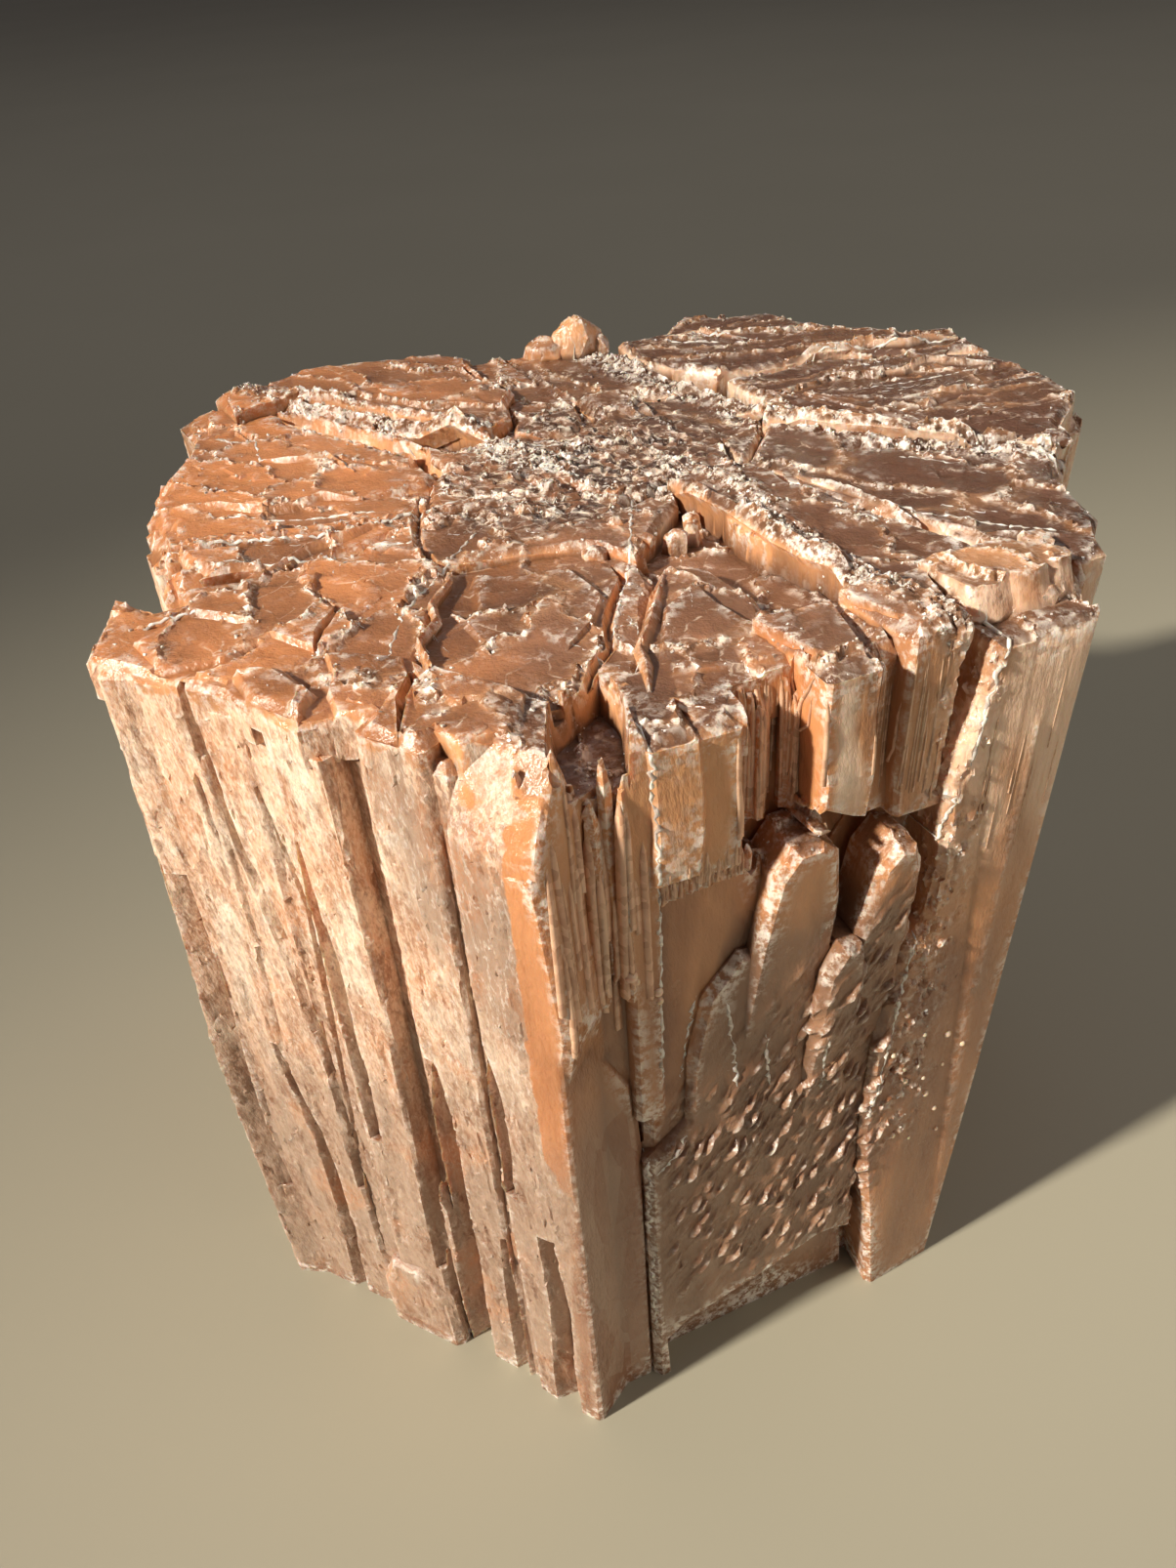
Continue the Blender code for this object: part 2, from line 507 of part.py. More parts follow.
# The cleft behind the front corner, in plan, and its depth below the top.
CLEFT = ((-2.5, -13.2), (-2.4, -16.4), (0.3, -15.3), (0.15, -12.6), (-0.8, -10.6))
CLEFT_FLOOR = 28.3

# The knob on the back rim: centre, radii and turn of each of its lumps.
KNOB = (
    ((-1.55, 13.8, 30.2), (1.30, 0.95, 1.40), 0.3),
    ((-2.75, 13.7, 30.0), (1.05, 0.80, 0.80), -0.2),
    ((-0.75, 13.9, 30.1), (0.70, 0.75, 0.75), 0.9),
)
KNOB_FACETS = 16
ABOVE_ALL = 33.0         # cutters of the top reach up to here


def hollow(collection, face, inner, outer, outline):
    """A cutter through the (s, z) outline, a little narrower at its inner end."""
    wide = anticlockwise(list(outline))
    narrow = inset(wide, 0.18)
    back = [face.at(s, inner, z) for s, z in narrow]
    front = [face.at(s, outer, z) for s, z in wide]
    return piece(collection, *loft([back, front]))


def sloped_block(collection, face, s0, s1, t, top, drop, back, foot=FOOT):
    """A broad lath whose upper part slopes back, as a chipped or weathered rim does."""
    sections = []
    for z, out in ((foot, t), (top - drop, t), (top - drop * 0.4, t - back * 0.5), (top, t - back)):
        sections.append([
            face.at(s0 - LATH_FLARE, -LATH_DEPTH, z),
            face.at(s0, out - LATH_EDGE, z),
            face.at(s0 + LATH_EDGE, out, z),
            face.at((s0 + s1) / 2, out + 0.12, z),
            face.at(s1 - LATH_EDGE, out, z),
            face.at(s1, out - LATH_EDGE, z),
            face.at(s1 + LATH_FLARE, -LATH_DEPTH, z),
        ])
    return piece(collection, *loft(sections))


# ---------------------------------------------------------------- growing the body
def level_near(x, y):
    """The height of the upper surface at a point of the plan."""
    best = HEIGHT - 0.4
    for level, _, outline in PLATES.values():
        inside = False
        for (ax, ay), (bx, by) in zip(outline, outline[1:] + outline[:1]):
            if (ay > y) != (by > y) and x < (bx - ax) * (y - ay) / (by - ay) + ax:
                inside = not inside
        if inside:
            best = max(best, level)
    return best


def on_top(path):
    """A run over the upper surface, following the plates up and down."""
    run = broken_up(path, part_counts(path)) + [strayed(*path[-1])]
    return [(x, y, level_near(x, y)) for x, y in run]


def grow_heart(solids):
    heart = inset(OUTLINE, CORE_INSET)
    low = [(x, y, FOOT) for x, y in heart]
    high = [(x, y, HEIGHT - 1.0) for x, y in heart]
    piece(solids, *loft([low, high]))


def grow_plates(solids):
    for level, tilt, outline in PLATES.values():
        plate(solids, outline, level, tilt)
    for width, rise, path in RIDGES:
        bar(solids, on_top(path), width, rise, 0.7)


def grow_front_left(solids):
    for s0, s1, t, top in FRONT_LEFT_LATHS:
        lath(solids, front_left, s0, s1, t, top)
    sloped_block(solids, front_left, 11.8, 14.6, 0.30, 29.8, 2.4, 1.4)
    for t, sink, outline in FRONT_LEFT_SLABS:
        slab(solids, front_left, outline, t, sink)


def grow_front_right(solids):
    for t, sink, outline in FRONT_RIGHT_SLABS:
        slab(solids, front_right, outline, t, sink)
    for s0, s1, t, top, foot in FRONT_RIGHT_LATHS:
        lath(solids, front_right, s0, s1, t, top, foot)
    for s0, s1, t in RIGHT_BLOCKS:
        sloped_block(solids, front_right, s0, s1, t, 30.6, 4.0, 1.3, foot=16.0)


def grow_far_faces(solids):
    """The faces away from the front: laths of mixed width, some backing one that ends part way."""
    corners = OUTLINE[2:] + OUTLINE[:1]
    for start, end in zip(corners, corners[1:]):
        face = Face(start, end)
        s = 0.4
        while s < face.length:
            width = rng.uniform(0.9, 2.3)
            t = rng.uniform(-0.3, 0.3)
            x, y, _ = face.at(s + width / 2, -1.0, 0)
            top = level_near(x, y) - rng.uniform(0.0, 0.5)
            lath(solids, face, s, s + width, t, top)
            choice = rng.random()
            if choice < 0.22:
                lath(solids, face, s + 0.2, s + width - 0.1, t + 0.45, rng.uniform(10.0, 26.0), depth=1.2)
            elif choice < 0.42:
                start_level = rng.uniform(6.0, 20.0)
                lath(solids, face, s + 0.1, s + width - 0.2, t + 0.4, top - 0.4, start_level, depth=1.2)
            s += width * rng.uniform(0.82, 0.95)


def cut_body(cutters):
    for path in FRONT_LEFT_CHANNELS:
        channel(cutters, front_left, path)
    for inner, outer, outline in HOLLOWS:
        hollow(cutters, front_right, inner, outer, outline)
    for width, depth, path in GULLIES:
        bar(cutters, on_top(path), width, 2.0, depth)
    cleft = anticlockwise(list(CLEFT))
    low = [(x, y, CLEFT_FLOOR) for x, y in inset(cleft, 0.5)]
    high = [(x, y, ABOVE_ALL) for x, y in cleft]
    piece(cutters, *loft([low, high]))
    bottom = [(x * 1.5, y * 1.5, -4.0) for x, y in OUTLINE]
    top = [(x * 1.5, y * 1.5, 0.0) for x, y in OUTLINE]
    piece(cutters, *loft([bottom, top]))


def lump(collection, centre, radii, turn=0.0):
    """A small lump broken off along many flat facets."""
    facets = []
    for _ in range(KNOB_FACETS):
        way = Vector((rng.gauss(0, 1), rng.gauss(0, 1), rng.gauss(0, 1))).normalized()
        facets.append((way, rng.uniform(0.72, 0.95)))
    bm = bmesh.new()
    bmesh.ops.create_icosphere(bm, subdivisions=2, radius=1.0)
    for vert in bm.verts:
        reach = min(far / max(way.dot(vert.co), 0.2) for way, far in facets)
        vert.co *= min(1.0, reach)
    bmesh.ops.scale(bm, vec=radii, verts=bm.verts)
    bmesh.ops.rotate(bm, cent=(0, 0, 0), matrix=Matrix.Rotation(turn, 3, "Z"), verts=bm.verts)
    bmesh.ops.translate(bm, vec=centre, verts=bm.verts)
    verts = [tuple(v.co) for v in bm.verts]
    faces = [tuple(v.index for v in f.verts) for f in bm.faces]
    bm.free()
    return piece(collection, verts, faces)


def add_fine_growth(solids):
    """Fibres, the fringe under the overhang, blunt grains and the knob on the back rim."""
    for s, t, radius, top, foot in NEEDLES:
        needle(solids, front_right, s, t, radius, top, foot)
    for k in range(RECESS_FIBRES):
        s = RECESS_START + (RECESS_END - RECESS_START) * (k + 0.5) / RECESS_FIBRES
        t = rng.uniform(-0.08, 0.25) - RECESS_DEPTH
        top = 29.6 - rng.uniform(0.0, 0.8)
        needle(solids, front_right, s, t, rng.uniform(0.13, 0.2), top, 25.2, point=0.5)
    low, high = FRINGE_LEVEL
    for k in range(FRINGE):
        s = FRINGE_START + FRINGE_PITCH * k
        t = -0.12 - 0.02 * k
        top = high + rng.uniform(-0.3, 0.2)
        needle(solids, front_right, s, t, rng.uniform(0.11, 0.17), top, low, point=0.4)
    for _ in range(GRAINS):
        angle = rng.uniform(0, math.tau)
        reach = rng.uniform(0, 1) ** 0.7
        x = GRAIN_CENTRE[0] + GRAIN_REACH[0] * reach * math.cos(angle)
        y = GRAIN_CENTRE[1] + GRAIN_REACH[1] * reach * math.sin(angle)
        level = level_near(x, y) - 0.1
        grain(solids, x, y, level, rng.uniform(*GRAIN_RADIUS), rng.uniform(*GRAIN_RISE))
    for centre, radii, turn in KNOB:
        lump(solids, centre, radii, turn)


# ---------------------------------------------------------------- joining, shaping and finishing
def joined(body, others, operation):
    """The body after a Boolean with every piece of a collection, as a new object of its own."""
    step = body.modifiers.new("join", "BOOLEAN")
    step.operation = operation
    step.operand_type = "COLLECTION"
    step.collection = others
    step.solver = SOLVER
    depsgraph = bpy.context.evaluated_depsgraph_get()
    mesh = bpy.data.meshes.new_from_object(body.evaluated_get(depsgraph))
    made = bpy.data.objects.new("body", mesh)
    bpy.context.scene.collection.objects.link(made)
    for gone in [body] + list(others.objects):
        bpy.data.objects.remove(gone, do_unlink=True)
    bpy.data.collections.remove(others)
    return made


def settled(point):
    """Where a point of the straight drawing lies on the grown crystal."""
    x, y, z = point
    below = max(0.0, HEIGHT - z)
    pull = min(1.0, max(0.0, (x - 4.0) / 9.0))
    x -= TAPER * below * pull
    near_left = min(1.0, max(0.0, (-x - 9.0) / 6.0)) * min(1.0, max(0.0, (2.0 - y) / 6.0))
    swell = BULGE * near_left * math.exp(-(((z - BULGE_LEVEL) / BULGE_REACH) ** 2))
    drift = Vector((x, y, z)) * 0.11
    x += 0.16 * noise.noise(drift) - swell
    y += 0.16 * noise.noise(drift + Vector((9.0, 0.0, 0.0))) - swell * 0.3
    return (x, y, z)


def keep_outer_shell(body):
    """Fills the small hidden voids between crossing laths: only the outermost shell is kept."""
    bm = bmesh.new()
    bm.from_mesh(body.data)
    waiting = set(bm.faces)
    shells = []
    while waiting:
        front = [waiting.pop()]
        shell = list(front)
        while front:
            for edge in front.pop().edges:
                for face in edge.link_faces:
                    if face in waiting:
                        waiting.remove(face)
                        front.append(face)
                        shell.append(face)
        shells.append(shell)
    shells.sort(key=len)
    inner = [face for shell in shells[:-1] for face in shell]
    bmesh.ops.delete(bm, geom=inner, context="FACES")
    bm.to_mesh(body.data)
    bm.free()


def thinned(body, most):
    """The body with its smallest facets merged, down to the given number of triangles."""
    count = sum(len(face.vertices) - 2 for face in body.data.polygons)
    step = body.modifiers.new("thin", "DECIMATE")
    step.decimate_type = "COLLAPSE"
    step.ratio = min(1.0, most / count)
    depsgraph = bpy.context.evaluated_depsgraph_get()
    body.data = bpy.data.meshes.new_from_object(body.evaluated_get(depsgraph))
    body.modifiers.clear()


def stone_material():
    made = bpy.data.materials.new("brown aragonite")
    made.use_nodes = True
    shader = made.node_tree.nodes["Principled BSDF"]
    shader.inputs["Base Color"].default_value = (0.42, 0.24, 0.14, 1.0)
    shader.inputs["Roughness"].default_value = 0.45
    shader.inputs["Metallic"].default_value = 0.0
    return made


def main():
    for old in list(bpy.data.objects):
        bpy.data.objects.remove(old, do_unlink=True)

    solids = group("solids")
    grow_heart(solids)
    grow_plates(solids)
    grow_front_left(solids)
    grow_front_right(solids)
    grow_far_faces(solids)
    first = solids.objects[0]
    solids.objects.unlink(first)
    bpy.context.scene.collection.objects.link(first)
    body = joined(first, solids, "UNION")

    cutters = group("cutters")
    cut_body(cutters)
    body = joined(body, cutters, "DIFFERENCE")

    fine = group("fine growth")
    add_fine_growth(fine)
    body = joined(body, fine, "UNION")

    keep_outer_shell(body)
    thinned(body, MOST_TRIANGLES)
    keep_outer_shell(body)
    for vert in body.data.vertices:
        x, y, z = settled(vert.co)
        x += rng.uniform(-STIR, STIR)
        y += rng.uniform(-STIR, STIR)
        vert.co = Vector((x, y, max(0.0, z))) * MM
    body.name = "aragonite_crystal"
    body.data.name = body.name
    body.data.materials.clear()
    body.data.materials.append(stone_material())


main()
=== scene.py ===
# %% [markdown]
# # A brown aragonite twin
# Aragonite often grows as a stubby six-sided prism that is really several crystals grown into each
# other. The upright sides are bundles of laths with open grooves between them. The top is a mosaic
# of thin, slightly tilted plates that run out from the middle, with granular seams between them.
# This lesson dresses the plain solid: first the camera, then the relief of the surface, then the
# stone itself, which lets light in, then the chips, threads, needles and beads that sit on it, and
# last the floor and the light.

# %% Load the frame
import math
import random

import bmesh
import bpy
import numpy as np
from mathutils import Matrix, Vector
from mathutils.bvhtree import BVHTree


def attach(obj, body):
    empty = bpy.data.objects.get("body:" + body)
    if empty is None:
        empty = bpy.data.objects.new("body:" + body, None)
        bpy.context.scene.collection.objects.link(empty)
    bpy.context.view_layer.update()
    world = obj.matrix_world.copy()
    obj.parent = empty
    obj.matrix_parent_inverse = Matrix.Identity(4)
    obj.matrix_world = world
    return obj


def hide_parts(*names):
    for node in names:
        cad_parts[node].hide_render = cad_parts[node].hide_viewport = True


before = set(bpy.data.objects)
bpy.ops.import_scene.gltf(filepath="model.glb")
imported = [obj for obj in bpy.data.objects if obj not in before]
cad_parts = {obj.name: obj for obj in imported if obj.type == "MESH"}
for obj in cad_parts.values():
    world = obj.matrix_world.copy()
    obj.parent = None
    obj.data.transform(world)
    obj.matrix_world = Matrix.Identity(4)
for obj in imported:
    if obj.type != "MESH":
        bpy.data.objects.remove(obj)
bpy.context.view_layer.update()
MM = 0.001


def new_object(name, data):
    """An object in the scene that shows this mesh, camera or lamp."""
    obj = bpy.data.objects.new(name, data)
    bpy.context.scene.collection.objects.link(obj)
    return obj


# %% [markdown]
# ## Where the eye is
# The crystal is small, so a close look at it is a steep one: the eye is less than two crystal
# heights away and looks down on the front corner. Strong convergence of the upright edges comes
# from that short distance, not from the shape. The camera is placed by three directions at right
# angles.

# %% Camera
EYE = Vector((-0.0644, -39.0027, 46.3845)) * MM
EYE_RIGHT = Vector((0.998126, 0.0, -0.061199))
EYE_UP = Vector((0.049016, 0.598773, 0.799418))
EYE_BACK = Vector((0.036645, -0.800919, 0.597651))
LENS = 28.02
NEAREST = 1 * MM            # what the camera sees, from here to there
FURTHEST = 20.0


def look(name, place, right, up, back, lens):
    """A camera with its own axes given one by one."""
    camera = new_object(name, bpy.data.cameras.new(name))
    turn = Matrix((right, up, back)).transposed().to_4x4()
    camera.matrix_world = Matrix.Translation(place) @ turn
    camera.data.lens = lens
    camera.data.clip_start = NEAREST
    camera.data.clip_end = FURTHEST
    return camera


camera = look("eye", EYE, EYE_RIGHT, EYE_UP, EYE_BACK, LENS)
bpy.context.scene.camera = camera
print("camera", [round(v / MM, 1) for v in EYE], "mm, lens", LENS)

# %% [markdown]
# ## A short way to write node trees
# Patterns here are sums and products of many small fields. Written node by node they would fill
# pages, so a small class stands for a socket, and plain arithmetic on it adds the Math nodes. The
# same class serves shader trees and Geometry Nodes trees, since both have these nodes.


# %% Fields with arithmetic
def feed(socket, value):
    """Joins a field to a socket, or sets the socket's own value."""
    if isinstance(value, Field):
        value.tree.links.new(value.socket, socket)
    else:
        socket.default_value = value


class Field:
    """A value that changes over a surface."""

    def __init__(self, tree, socket):
        self.tree = tree
        self.socket = socket

    def math(self, operation, *others, clamp=False):
        node = self.tree.nodes.new("ShaderNodeMath")
        node.operation = operation
        node.use_clamp = clamp
        for slot, value in zip(node.inputs, (self, *others)):
            feed(slot, value)
        return Field(self.tree, node.outputs[0])

    def vector(self, operation, *others):
        node = self.tree.nodes.new("ShaderNodeVectorMath")
        node.operation = operation
        slots = [slot for slot in node.inputs if slot.enabled]
        for slot, value in zip(slots, (self, *others)):
            feed(slot, value)
        return Field(self.tree, next(slot for slot in node.outputs if slot.enabled))

    def __add__(self, other):
        return self.math("ADD", other)

    def __sub__(self, other):
        return self.math("SUBTRACT", other)

    def __mul__(self, other):
        return self.math("MULTIPLY", other)

    def __neg__(self):
        return self.math("MULTIPLY", -1.0)

    def clip(self):
        return self.math("ADD", 0.0, clamp=True)

    def ramp(self, low, high):
        """0 at low and 1 at high, smooth between, whichever of the two is larger."""
        node = self.tree.nodes.new("ShaderNodeMapRange")
        node.interpolation_type = "SMOOTHSTEP"
        ends = (low, high, 0.0, 1.0) if high > low else (high, low, 1.0, 0.0)
        for slot, value in zip(node.inputs, (self, *ends)):
            feed(slot, value)
        return Field(self.tree, node.outputs[0])

    def parts(self):
        """The x, y and z of a vector, or the red, green and blue of a colour."""
        node = self.tree.nodes.new("ShaderNodeSeparateXYZ")
        feed(node.inputs[0], self)
        return [Field(self.tree, out) for out in node.outputs]


def add_node(tree, kind, settings=None, **sockets):
    """A node with its settings, and its inputs by name with _ for a space."""
    node = tree.nodes.new(kind)
    for key, value in (settings or {}).items():
        setattr(node, key, value)
    for key, value in sockets.items():
        feed(node.inputs[key.replace("_", " ")], value)
    return node


def at_point(x, y, z=0.0):
    """A vector from three numbers, of which the first is a field."""
    node = x.tree.nodes.new("ShaderNodeCombineXYZ")
    for slot, value in zip(node.inputs, (x, y, z)):
        feed(slot, value)
    return Field(x.tree, node.outputs[0])


def cloud(at, scale, detail=2.0, roughness=0.5, distortion=0.0):
    """Soft noise from 0 to 1."""
    node = add_node(
        at.tree, "ShaderNodeTexNoise", Vector=at, Scale=scale, Detail=detail, Roughness=roughness,
        Distortion=distortion,
    )
    return Field(at.tree, node.outputs[0])


def cells(at, scale, feature="F1", flat=False):
    """The Voronoi node: its outputs by name."""
    settings = {"feature": feature, "voronoi_dimensions": "2D" if flat else "3D"}
    node = add_node(at.tree, "ShaderNodeTexVoronoi", settings, Vector=at, Scale=scale)
    return {out.name: Field(at.tree, out) for out in node.outputs}


def between(low, high, factor):
    """low where the factor is 0 and high where it is 1."""
    return factor * high + (-factor + 1.0) * low


print("node helpers ready")

# %% [markdown]
# ## The solid, made fine
# The solid has nearly ten thousand facets. Its relief needs vertices a tenth of a millimetre apart, so
# a copy of it is merged and remeshed. Remesh has a mode that keeps edges sharp, and that matters
# here: crystal edges are crisp, and a voxel remesh would round them like clay.

# %% Merge and remesh
DEPTH = 9
SPAN = 0.70                 # the share of Remesh's cube that the stone fills
MERGE = 1e-7                # in metres: loose corners closer than this are one


def merged_copy(node, name):
    """A copy of a CAD node's mesh with its loose triangles joined."""
    mesh = node.data.copy()
    mesh.name = name
    bm = bmesh.new()
    bm.from_mesh(mesh)
    bmesh.ops.remove_doubles(bm, verts=bm.verts, dist=MERGE)
    bm.to_mesh(mesh)
    bm.free()
    return new_object(name, mesh)


def settle(obj):
    """Turns what the modifiers make into the object's own mesh."""
    depsgraph = bpy.context.evaluated_depsgraph_get()
    mesh = bpy.data.meshes.new_from_object(obj.evaluated_get(depsgraph))
    obj.modifiers.clear()
    obj.data = mesh
    return obj


stone = merged_copy(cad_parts["aragonite_crystal"], "crystal")
remesh = stone.modifiers.new("skin", "REMESH")
remesh.mode = "SHARP"
remesh.octree_depth = DEPTH
remesh.scale = SPAN
settle(stone)
print("skin", len(stone.data.vertices), "vertices")

# %% [markdown]
# ## The lines that are drawn
# Some seams are so strong that they have to be drawn, in plan. There are broad crumbly bands where
# crystals of the twin meet, and a few open cracks. Each set is kept as a mesh of edges, in
# millimetres, that Geometry Nodes can measure distances to.

# %% Drawn seams
BANDS = (
    ((-1.0, 13.0), (1.0, 10.0), (4.0, 7.0), (5.0, 4.5), (9.0, 2.2), (14.0, -0.5)),
    ((-15.0, 10.6), (-11.0, 8.4), (-5.0, 4.5), (-2.0, 2.2)),
    ((1.8, 1.5), (3.4, -0.8), (4.4, -3.6), (4.8, -5.4), (6.4, -8.4), (8.4, -11.0)),
)
CRACKS = (
    ((-13.0, 8.0), (-7.5, 4.0), (-6.3, 2.0)),
    ((0.2, -1.6), (1.0, -0.6), (1.8, 0.2)),
    ((8.0, 1.6), (12.0, 0.8), (15.6, 0.2)),
)


def drawn(name, lines):
    """Flat lines as one mesh of edges, in millimetres."""
    points = []
    edges = []
    for line in lines:
        first = len(points)
        points.extend((x, y, 0.0) for x, y in line)
        edges.extend((i, i + 1) for i in range(first, len(points) - 1))
    mesh = bpy.data.meshes.new(name)
    mesh.from_pydata(points, edges, [])
    return new_object(name, mesh)


DRAWN = {"Bands": BANDS, "Cracks": CRACKS}
drawings = {name: drawn(name, lines) for name, lines in DRAWN.items()}
print({name: len(lines) for name, lines in DRAWN.items()})

# %% [markdown]
# ## Where things are on the crystal
# Relief and colour both need to know where they are: along the laths, out from the middle, on the
# bark of the left front or on the glassy right front. The right flank leans in downwards, so its
# lean is taken out first, and the pattern of the laths then leans with them.

# %% Places and regions
CENTRE = (-1.5, 2.0)
CORNER = (-2.8, -16.2)      # the front corner, and the way the right front face runs from it
ALONG = (0.9222, 0.3867)
LEFT_END = (-15.0, -9.3)    # the left end of the left front face, and the way it runs from there
LEFT_ALONG = (0.87, -0.49)
LEAN = 0.055                # how far the right flank draws in for each millimetre down,
LEAN_FROM = 4.0             # from nothing at this x to all of it this much further right
LEAN_OVER = 9.0
TOP = 30.0
SLANT = 0.13                # how far the laths and the bark lean left for each millimetre up
BARK_SLANT = 0.15
PLATES = 0.36               # how many plates there are to a millimetre of the plan,
FINER = 2.4                 # how many times finer the sub-steps are,
TINY = 2.1                  # and how many loose grains there are to a millimetre
# how each crystal of the twin lies: the cosine and sine of its heading, then how closely its
# plates follow each other along that way and across it
TWIN = {
    "left": (-0.88, 0.47, 0.55, 1.5),
    "wedge": (0.77, -0.64, 0.55, 1.2),
    "back": (0.966, 0.259, 0.42, 1.9),
    "front": (-0.17, -0.98, 0.85, 1.0),
}


def straightened(at):
    """x, y and z with the lean of the right flank taken out."""
    x, y, z = at.parts()
    drop = (-z + TOP).math("MAXIMUM", 0.0) * LEAN
    inner = (x - drop * (LEAN_FROM / LEAN_OVER)).math("DIVIDE", -drop * (1.0 / LEAN_OVER) + 1.0)
    return x.math("MAXIMUM", inner).math("MINIMUM", x + drop), y, z


def along_left(x, y):
    """How far along the left front face a point is, from its left edge."""
    return (x - LEFT_END[0]) * LEFT_ALONG[0] + (y - LEFT_END[1]) * LEFT_ALONG[1]


def along_front(x, y):
    """How far along the right front face a point is, from the front corner."""
    return (x - CORNER[0]) * ALONG[0] + (y - CORNER[1]) * ALONG[1]


def regions(x, y):
    """1 on the bark of the left front, and 1 on the glassy right front."""
    past_corner = x - y * 0.173
    left = past_corner.ramp(0.2, -0.5) * y.ramp(1.0, -3.0)
    right = past_corner.ramp(0.2, 0.8) * (x * 0.764 + y).ramp(0.3, -0.3)
    return left, right


def ribbed_blocks(s, z):
    """1 on the ribbed blocks, high up towards the right end of the right front."""
    return z.ramp(23.5, 25.5) * s.ramp(8.6, 9.6)


def knob_of(z):
    """1 on the knob of the back rim, which stands above the plates."""
    return z.ramp(30.4, 31.0)


def by_crystal(values, masks):
    """The value of the twin's crystal a point is on, by the masks of all crystals but the first."""
    chosen, *others = values
    for value, mask in zip(others, masks):
        chosen = between(chosen, value, mask)
    return chosen


def plan_of(x, y):
    """Flat coordinates for the plates: stretched along each crystal of the twin, and crumpled."""
    sway = cloud(at_point(x, y), 0.42, 4.0, 0.62)
    sway_across = cloud(at_point(x + 31.0, y + 17.0), 0.42, 4.0, 0.62)
    past_seam = x + y * 0.528
    back = (x * 0.668 + y * 0.743).ramp(8.4, 9.4)
    front = (y - x * 0.15).ramp(0.0, -1.0) * past_seam.ramp(2.9, 2.3)
    wedge = (-back + 1.0) * past_seam.ramp(2.3, 2.9)
    masks = (wedge, back, front)
    cos, sin, long, wide = (by_crystal(values, masks) for values in zip(*TWIN.values()))
    x = x + (sway - 0.5) * 3.2
    y = y + (sway_across - 0.5) * 3.2
    return at_point((x * cos + y * sin) * long, (y * cos - x * sin) * wide)


def plates_on(plan, size):
    """The plates of the top: distance to the border, a tone for each plate, and its tilt."""
    near = cells(plan, size, flat=True)
    border = cells(plan, size, "DISTANCE_TO_EDGE", flat=True)["Distance"]
    red, green, tone = near["Color"].parts()
    offset = plan.vector("SUBTRACT", near["Position"])
    tilt = offset.vector("DOT_PRODUCT", at_point(red - 0.5, green - 0.5))
    return border, tone, tilt


def middle_of(x, y):
    """1 over the crushed middle of the top."""
    away = at_point(x - CENTRE[0], (y - CENTRE[1]) * 1.1).vector("LENGTH")
    return (away + cloud(at_point(x, y), 0.5, 3.0) * 6.0).ramp(10.5, 5.8)


def oblique_bumps(s, z):
    """Small ridges leaning up and to the right, on the lower part of the right front."""
    field = s.ramp(3.0, 4.0) * s.ramp(12.8, 11.6) * z.ramp(3.5, 6.5) * (z - s * 0.9).ramp(15.0, 8.0)
    tilted = at_point((s * 0.86 - z * 0.5) * 1.9, (s * 0.5 + z * 0.86) * 0.55)
    oblique = cells(tilted, 1.45, flat=True)
    pick, size, _ = oblique["Color"].parts()
    bump = oblique["Distance"].ramp(0.52, 0.06) * pick.ramp(0.25, 0.60) * (size * 0.7 + 0.3)
    return (bump + cloud(tilted, 0.9, 3.0, 0.6).ramp(0.46, 0.66) * 0.5) * field


print("patterns defined")

# %% [markdown]
# ## Helpers for Geometry Nodes
# Each tree takes its sizes as named inputs and works on a mesh, on drawn lines or on another object.
# A few helpers hold the steps that all trees share, so that a tree reads as what it makes. Instances
# are made real at a tree's end, and the result then replaces the modifier, because an export keeps
# plain meshes only.


# %% Geometry Nodes helpers
FLOAT = "NodeSocketFloat"
OBJECT = "NodeSocketObject"
MATERIAL = "NodeSocketMaterial"


def new_tree(name, inputs):
    """A Geometry Nodes tree with a geometry in and out, and named inputs."""
    tree = bpy.data.node_groups.new(name, "GeometryNodeTree")
    tree.interface.new_socket("Geometry", in_out="INPUT", socket_type="NodeSocketGeometry")
    tree.interface.new_socket("Geometry", in_out="OUTPUT", socket_type="NodeSocketGeometry")
    for label, (kind, value) in inputs.items():
        socket = tree.interface.new_socket(label, in_out="INPUT", socket_type=kind)
        if value is not None:
            socket.default_value = value
    start = tree.nodes.new("NodeGroupInput")
    end = tree.nodes.new("NodeGroupOutput")
    fields = {label: Field(tree, start.outputs[label]) for label in inputs}
    return tree, Field(tree, start.outputs["Geometry"]), fields, end


def from_object(source):
    """The geometry of an object given as an input."""
    info = source.tree.nodes.new("GeometryNodeObjectInfo")
    feed(info.inputs["Object"], source)
    return Field(source.tree, info.outputs["Geometry"])


def stored(tree, name):
    """A stored mask, inside Geometry Nodes."""
    settings = {"data_type": "FLOAT"}
    node = add_node(tree, "GeometryNodeInputNamedAttribute", settings, Name=name)
    return Field(tree, node.outputs[0])


def painted(geometry, material):
    """Instances made real, with their material."""
    tree = geometry.tree
    real = Field(tree, add_node(tree, "GeometryNodeRealizeInstances", Geometry=geometry).outputs[0])
    paint = add_node(tree, "GeometryNodeSetMaterial", Material=material, Geometry=real)
    return Field(tree, paint.outputs[0])


def distance_to(lines, at):
    """How far a flat point is from the drawn lines."""
    tree = at.tree
    near = add_node(tree, "GeometryNodeProximity", {"target_element": "EDGES"}, Sample_Position=at)
    feed(near.inputs[0], from_object(lines))
    return Field(tree, near.outputs["Distance"])


def keep(geometry, name, value):
    """Stores a field on the points under a name."""
    settings = {"data_type": "FLOAT", "domain": "POINT"}
    node = add_node(
        geometry.tree, "GeometryNodeStoreNamedAttribute", settings, Geometry=geometry, Name=name,
        Value=value,
    )
    return Field(geometry.tree, node.outputs[0])


